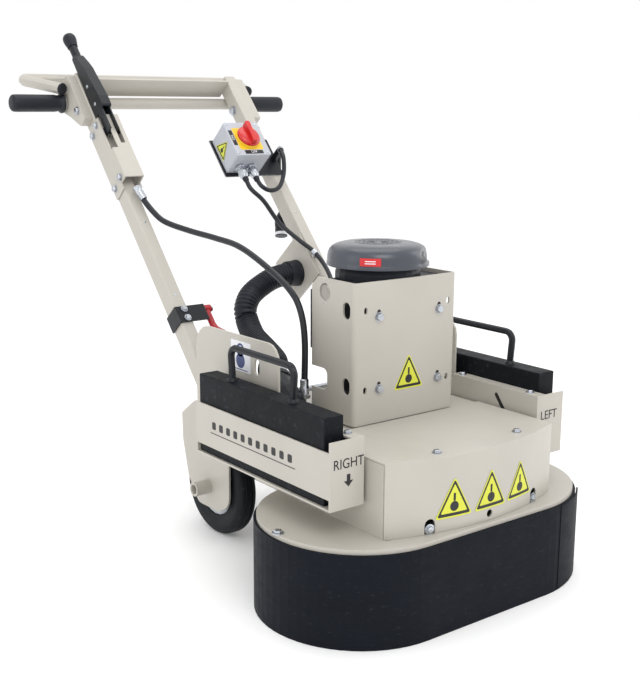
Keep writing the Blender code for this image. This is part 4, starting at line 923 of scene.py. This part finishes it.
def make_switch_details():
    x0, x1, z0, z1 = 0.0545, 0.1455, 0.5435, 0.6365
    lid = -0.0872                # the lid's face
    knob_at = (0.1, lid, 0.59)
    shape = Shape(HANDLE)
    shape.prism(rectangle((x0, x1), (z0, z1), 0.005), 0.0, 0.0152, (0.0, lid + 0.0152, 0.0), "Y")
    shape.done("switch_lid", "handle", box_plastic, bevel=0.0012)
    shape = Shape(HANDLE)
    for x in (x0 + 0.0065, x1 - 0.0065):
        for z in (z0 + 0.0065, z1 - 0.0065):
            shape.screw((x, lid, z), "Y", 0.0033, 0.0014)
    shape.hardware("switch_lid_screws", "handle")

    shape = Shape(HANDLE)
    shape.prism(rectangle((0.05, 0.2087), (0.536, 0.6395), 0.002), 0.0, 0.0036, (0.0, -0.0196, 0.0), "Y")
    shape.done("switch_back_plate", "handle", black_paint, bevel=0.0006)

    shape = Shape(HANDLE)
    shape.prism(rectangle((0.0695, 0.1305), (0.559, 0.62), 0.003), 0.0, THIN, (0.0, lid, 0.0), "Y")
    shape.done("switch_yellow_plate", "handle", amber)
    shape = Shape(HANDLE)
    for wide, tall in (((0.0585, 0.068), (0.572, 0.614)), ((0.078, 0.126), (0.547, 0.557))):
        shape.prism(rectangle(wide, tall, 0.0008), 0.0, THIN, (0.0, lid, 0.0), "Y")
    shape.done("switch_word_strips", "handle", ink)
    for word, x, z, along, up in (("off", 0.102, 0.552, (1.0, 0.0, 0.0), (0.0, 0.0, 1.0)),
                                  ("on", 0.0632, 0.593, (0.0, 0.0, 1.0), (-1.0, 0.0, 0.0))):
        lettering("switch_word_" + word, word.upper(), 0.0095, facing(HANDLE, (x, lid - PROUD, z), along, up),
                  "handle", white)

    shape = Shape(HANDLE)
    shape.revolve([(0.0, 0.0001), (0.0292, 0.0001), (0.0292, 0.0046), (0.0282, 0.0058), (0.0, 0.0058)],
                  knob_at, "Y", 56)
    shape.done("switch_knob_collar", "switch", amber, smooth=40.0)
    shape = Shape(HANDLE)
    shape.revolve([(0.0, 0.0056), (0.0272, 0.0056), (0.0272, 0.009), (0.0262, 0.0112), (0.0236, 0.0138),
                   (0.018, 0.0158), (0.0, 0.0164)], knob_at, "Y", 56)
    outline = rounded([(-0.0068, -0.0262, 0.004), (0.0068, -0.0262, 0.004), (0.0052, 0.0, 0.0),
                       (0.0068, 0.03, 0.005), (-0.0068, 0.03, 0.005), (-0.0052, 0.0, 0.0)], 4)
    shape.prism(outline, 0.01, 0.0265, knob_at, "Y")
    knob = shape.done("switch_knob_moulded", "switch", red_plastic, bevel=0.0016, smooth=40.0,
                      segments=3)
    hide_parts("switch_knob")

    triangle_label("switch_side_label", HANDLE, lambda point: Vector(
        (0.0544 - point.z, -0.05 - point.y, 0.593 - point.x)), 0.046, "handle")

    shape = Shape(HANDLE)
    for x in (0.078, 0.107):
        at = (x, -0.0478, 0.544)
        shape.revolve([(0.005, 0.0), (0.0118, 0.0), (0.0122, 0.0008), (0.0122, 0.0062), (0.0112, 0.007),
                       (0.005, 0.007)], at, "-Z", 6, 0.3)
        shape.tube(0.005, 0.0092, 0.007, 0.012, at, "-Z")
        shape.revolve([(0.005, 0.012), (0.0108, 0.012), (0.0112, 0.013), (0.0112, 0.0225), (0.0098, 0.029),
                       (0.0078, 0.033), (0.005, 0.0345)], at, "-Z", 10, 0.2)
    shape.done("switch_glands", "handle", zinc, bevel=0.0003)
    shape = Shape(HANDLE)
    for x in (0.078, 0.107):
        shape.revolve([(0.007, 0.0), (0.0068, 0.004), (0.0058, 0.0085), (0.005, 0.0085), (0.005, 0.0)],
                      (x, -0.0478, 0.5105), "-Z", 28)
    shape.done("switch_gland_sleeves", "handle", grip_rubber, smooth=50.0)


def clip_band(name, route, knot, outer, half, bevel):
    """A metal band round a cord, at one knot of its route."""
    points = smooth_path(route, 0.004)
    near = min(range(len(points)), key=lambda i: (points[i] - Vector(route[knot])).length)
    shape = Shape()
    shape.tube(0.0052, outer, -half, half, points[near], aim(points[near + 1] - points[near - 1]))
    shape.done(name + "_clip_band", "handle", zinc, bevel=bevel)


def make_clips():
    clip_band("lead", LEAD_ROUTE, 5, 0.0068, 0.0055, 0.0003)
    shape = Shape(HANDLE)
    shape.prism(rectangle((0.1835, 0.2), (0.303, 0.315), 0.0025), 0.0, 0.004, (0.0, -0.0196, 0.0), "Y")
    shape.prism(rectangle((0.18, 0.188), (0.3035, 0.3145), 0.0025), 0.0, 0.009, (0.0, -0.0196, 0.0), "Y")
    shape.screw((0.1945, -0.0236, 0.309), "Y", 0.0042, 0.002)
    shape.done("lead_clip_foot", "handle", zinc, bevel=0.0006)
    clip_band("power_cord", POWER_ROUTE, 6, 0.0076, 0.006, 0.0004)
    shape = Shape(HANDLE)
    shape.prism(rectangle((0.193, 0.205), (0.572, 0.585), 0.0025), 0.0, 0.033, (0.0, -0.0228, 0.0), "Y")
    shape.done("power_cord_clip_stem", "handle", black_paint, bevel=0.0012)


def make_latch_details():
    y, z = -0.012, 0.211
    shape = Shape(HANDLE)
    shape.revolve([(0.0042, 0.0), (0.0082, 0.0), (0.0086, 0.0005), (0.0086, 0.006), (0.0078, 0.0068),
                   (0.0042, 0.0068)], (-0.148, y, z), "-X", 6, 0.25)
    shape.done("latch_nut", "handle", brass)
    shape = Shape(HANDLE)
    shape.revolve([(0.0, 0.0), (0.0042, 0.0), (0.007, 0.0), (0.0072, 0.0006), (0.0072, 0.0032), (0.006, 0.004),
                   (0.0, 0.004)], (-0.1268, y, z), "X", 28)
    shape.revolve([(0.0044, 0.0), (0.0044, 0.002), (0.0, 0.0026), (0.0, 0.0)], (-0.1546, y, z), "-X", 24)
    for bolt_z in (0.2105, 0.1895):
        shape.bolt((-0.1925, -0.0239, bolt_z), "Y", 0.0098, 0.005, 0.0072)
    shape.done("latch_fasteners", "handle", zinc)
    shape = Shape(HANDLE)
    x = -0.1357
    path = smooth_path([(x, y, z - 0.04), (x, y - 0.0015, z - 0.048), (x, y - 0.01, z - 0.06),
                        (x, y - 0.023, z - 0.0735)], 0.003)
    count = len(path)
    shape.sweep(path, [0.0074 + 0.0006 * sin(pi * i / (count - 1)) for i in range(count)], 20)
    shape.done("latch_lever_sleeve", "latch", red_paint, bevel=0.0008, smooth=50.0)


def make_hose_details():
    shape = Shape()
    shape.revolve([(0.0262, 0.0), (0.03, 0.0), (0.03, 0.005), (0.0288, 0.0062), (0.0284, 0.026),
                   (0.0276, 0.029), (0.0258, 0.029)], (0.1762, 0.618, 0.4838), "-X", 44)
    shape.done("hose_cuff_top", "handle", grip_rubber, smooth=40.0)
    tail, tip = Vector((-0.1435, 0.2324, 0.3417)), Vector((-0.133, 0.26, 0.3465))
    out = aim(tip - tail)
    shape = Shape()
    shape.revolve([(0.0272, -0.016), (0.029, -0.015), (0.0296, 0.0), (0.0296, 0.012), (0.0288, 0.015),
                   (0.0262, 0.016), (0.0262, 0.0), (0.0272, -0.001)], tip, out, 44)
    shape.done("hose_cuff_bottom", "machine", grip_rubber, smooth=40.0)
    shape = Shape()
    shape.tube(0.0294, 0.0304, -0.004, 0.005, tip, out, 44)
    shape.done("hose_band", "machine", zinc, smooth=40.0)


def make_plug_details():
    spin = Matrix.Rotation(0.24, 3, "Y") @ Matrix.Rotation(-0.35, 3, "X")
    top = Vector(POWER_ROUTE[-1]) + Vector((-0.0004, -0.0006, -0.0012))
    shape = Shape()
    shape.revolve([(0.0, -0.057), (0.0128, -0.057), (0.0148, -0.056), (0.0148, -0.05), (0.014, -0.049),
                   (0.0, -0.049)], top, spin, 40)
    shape.done("power_plug_face", "handle", white, smooth=40.0)
    shape = Shape()
    for z in (-0.018, -0.0225, -0.027, -0.0315):
        shape.revolve([(0.013, z - 0.0012), (0.0149, z - 0.0008), (0.0149, z + 0.0008), (0.013, z + 0.0012)],
                      top, spin, 40)
    shape.done("power_plug_ribs", "handle", grip_rubber, smooth=40.0)


make_camera()
make_studio()
make_cords()
dress_cad()
make_deck_details()
make_cover_details()
make_motor_details()
make_tray_details()
make_weight_details()
make_side_details()
make_tyres()
make_handle_details()
make_lever_details()
make_switch_details()
make_clips()
make_latch_details()
make_hose_details()
make_plug_details()
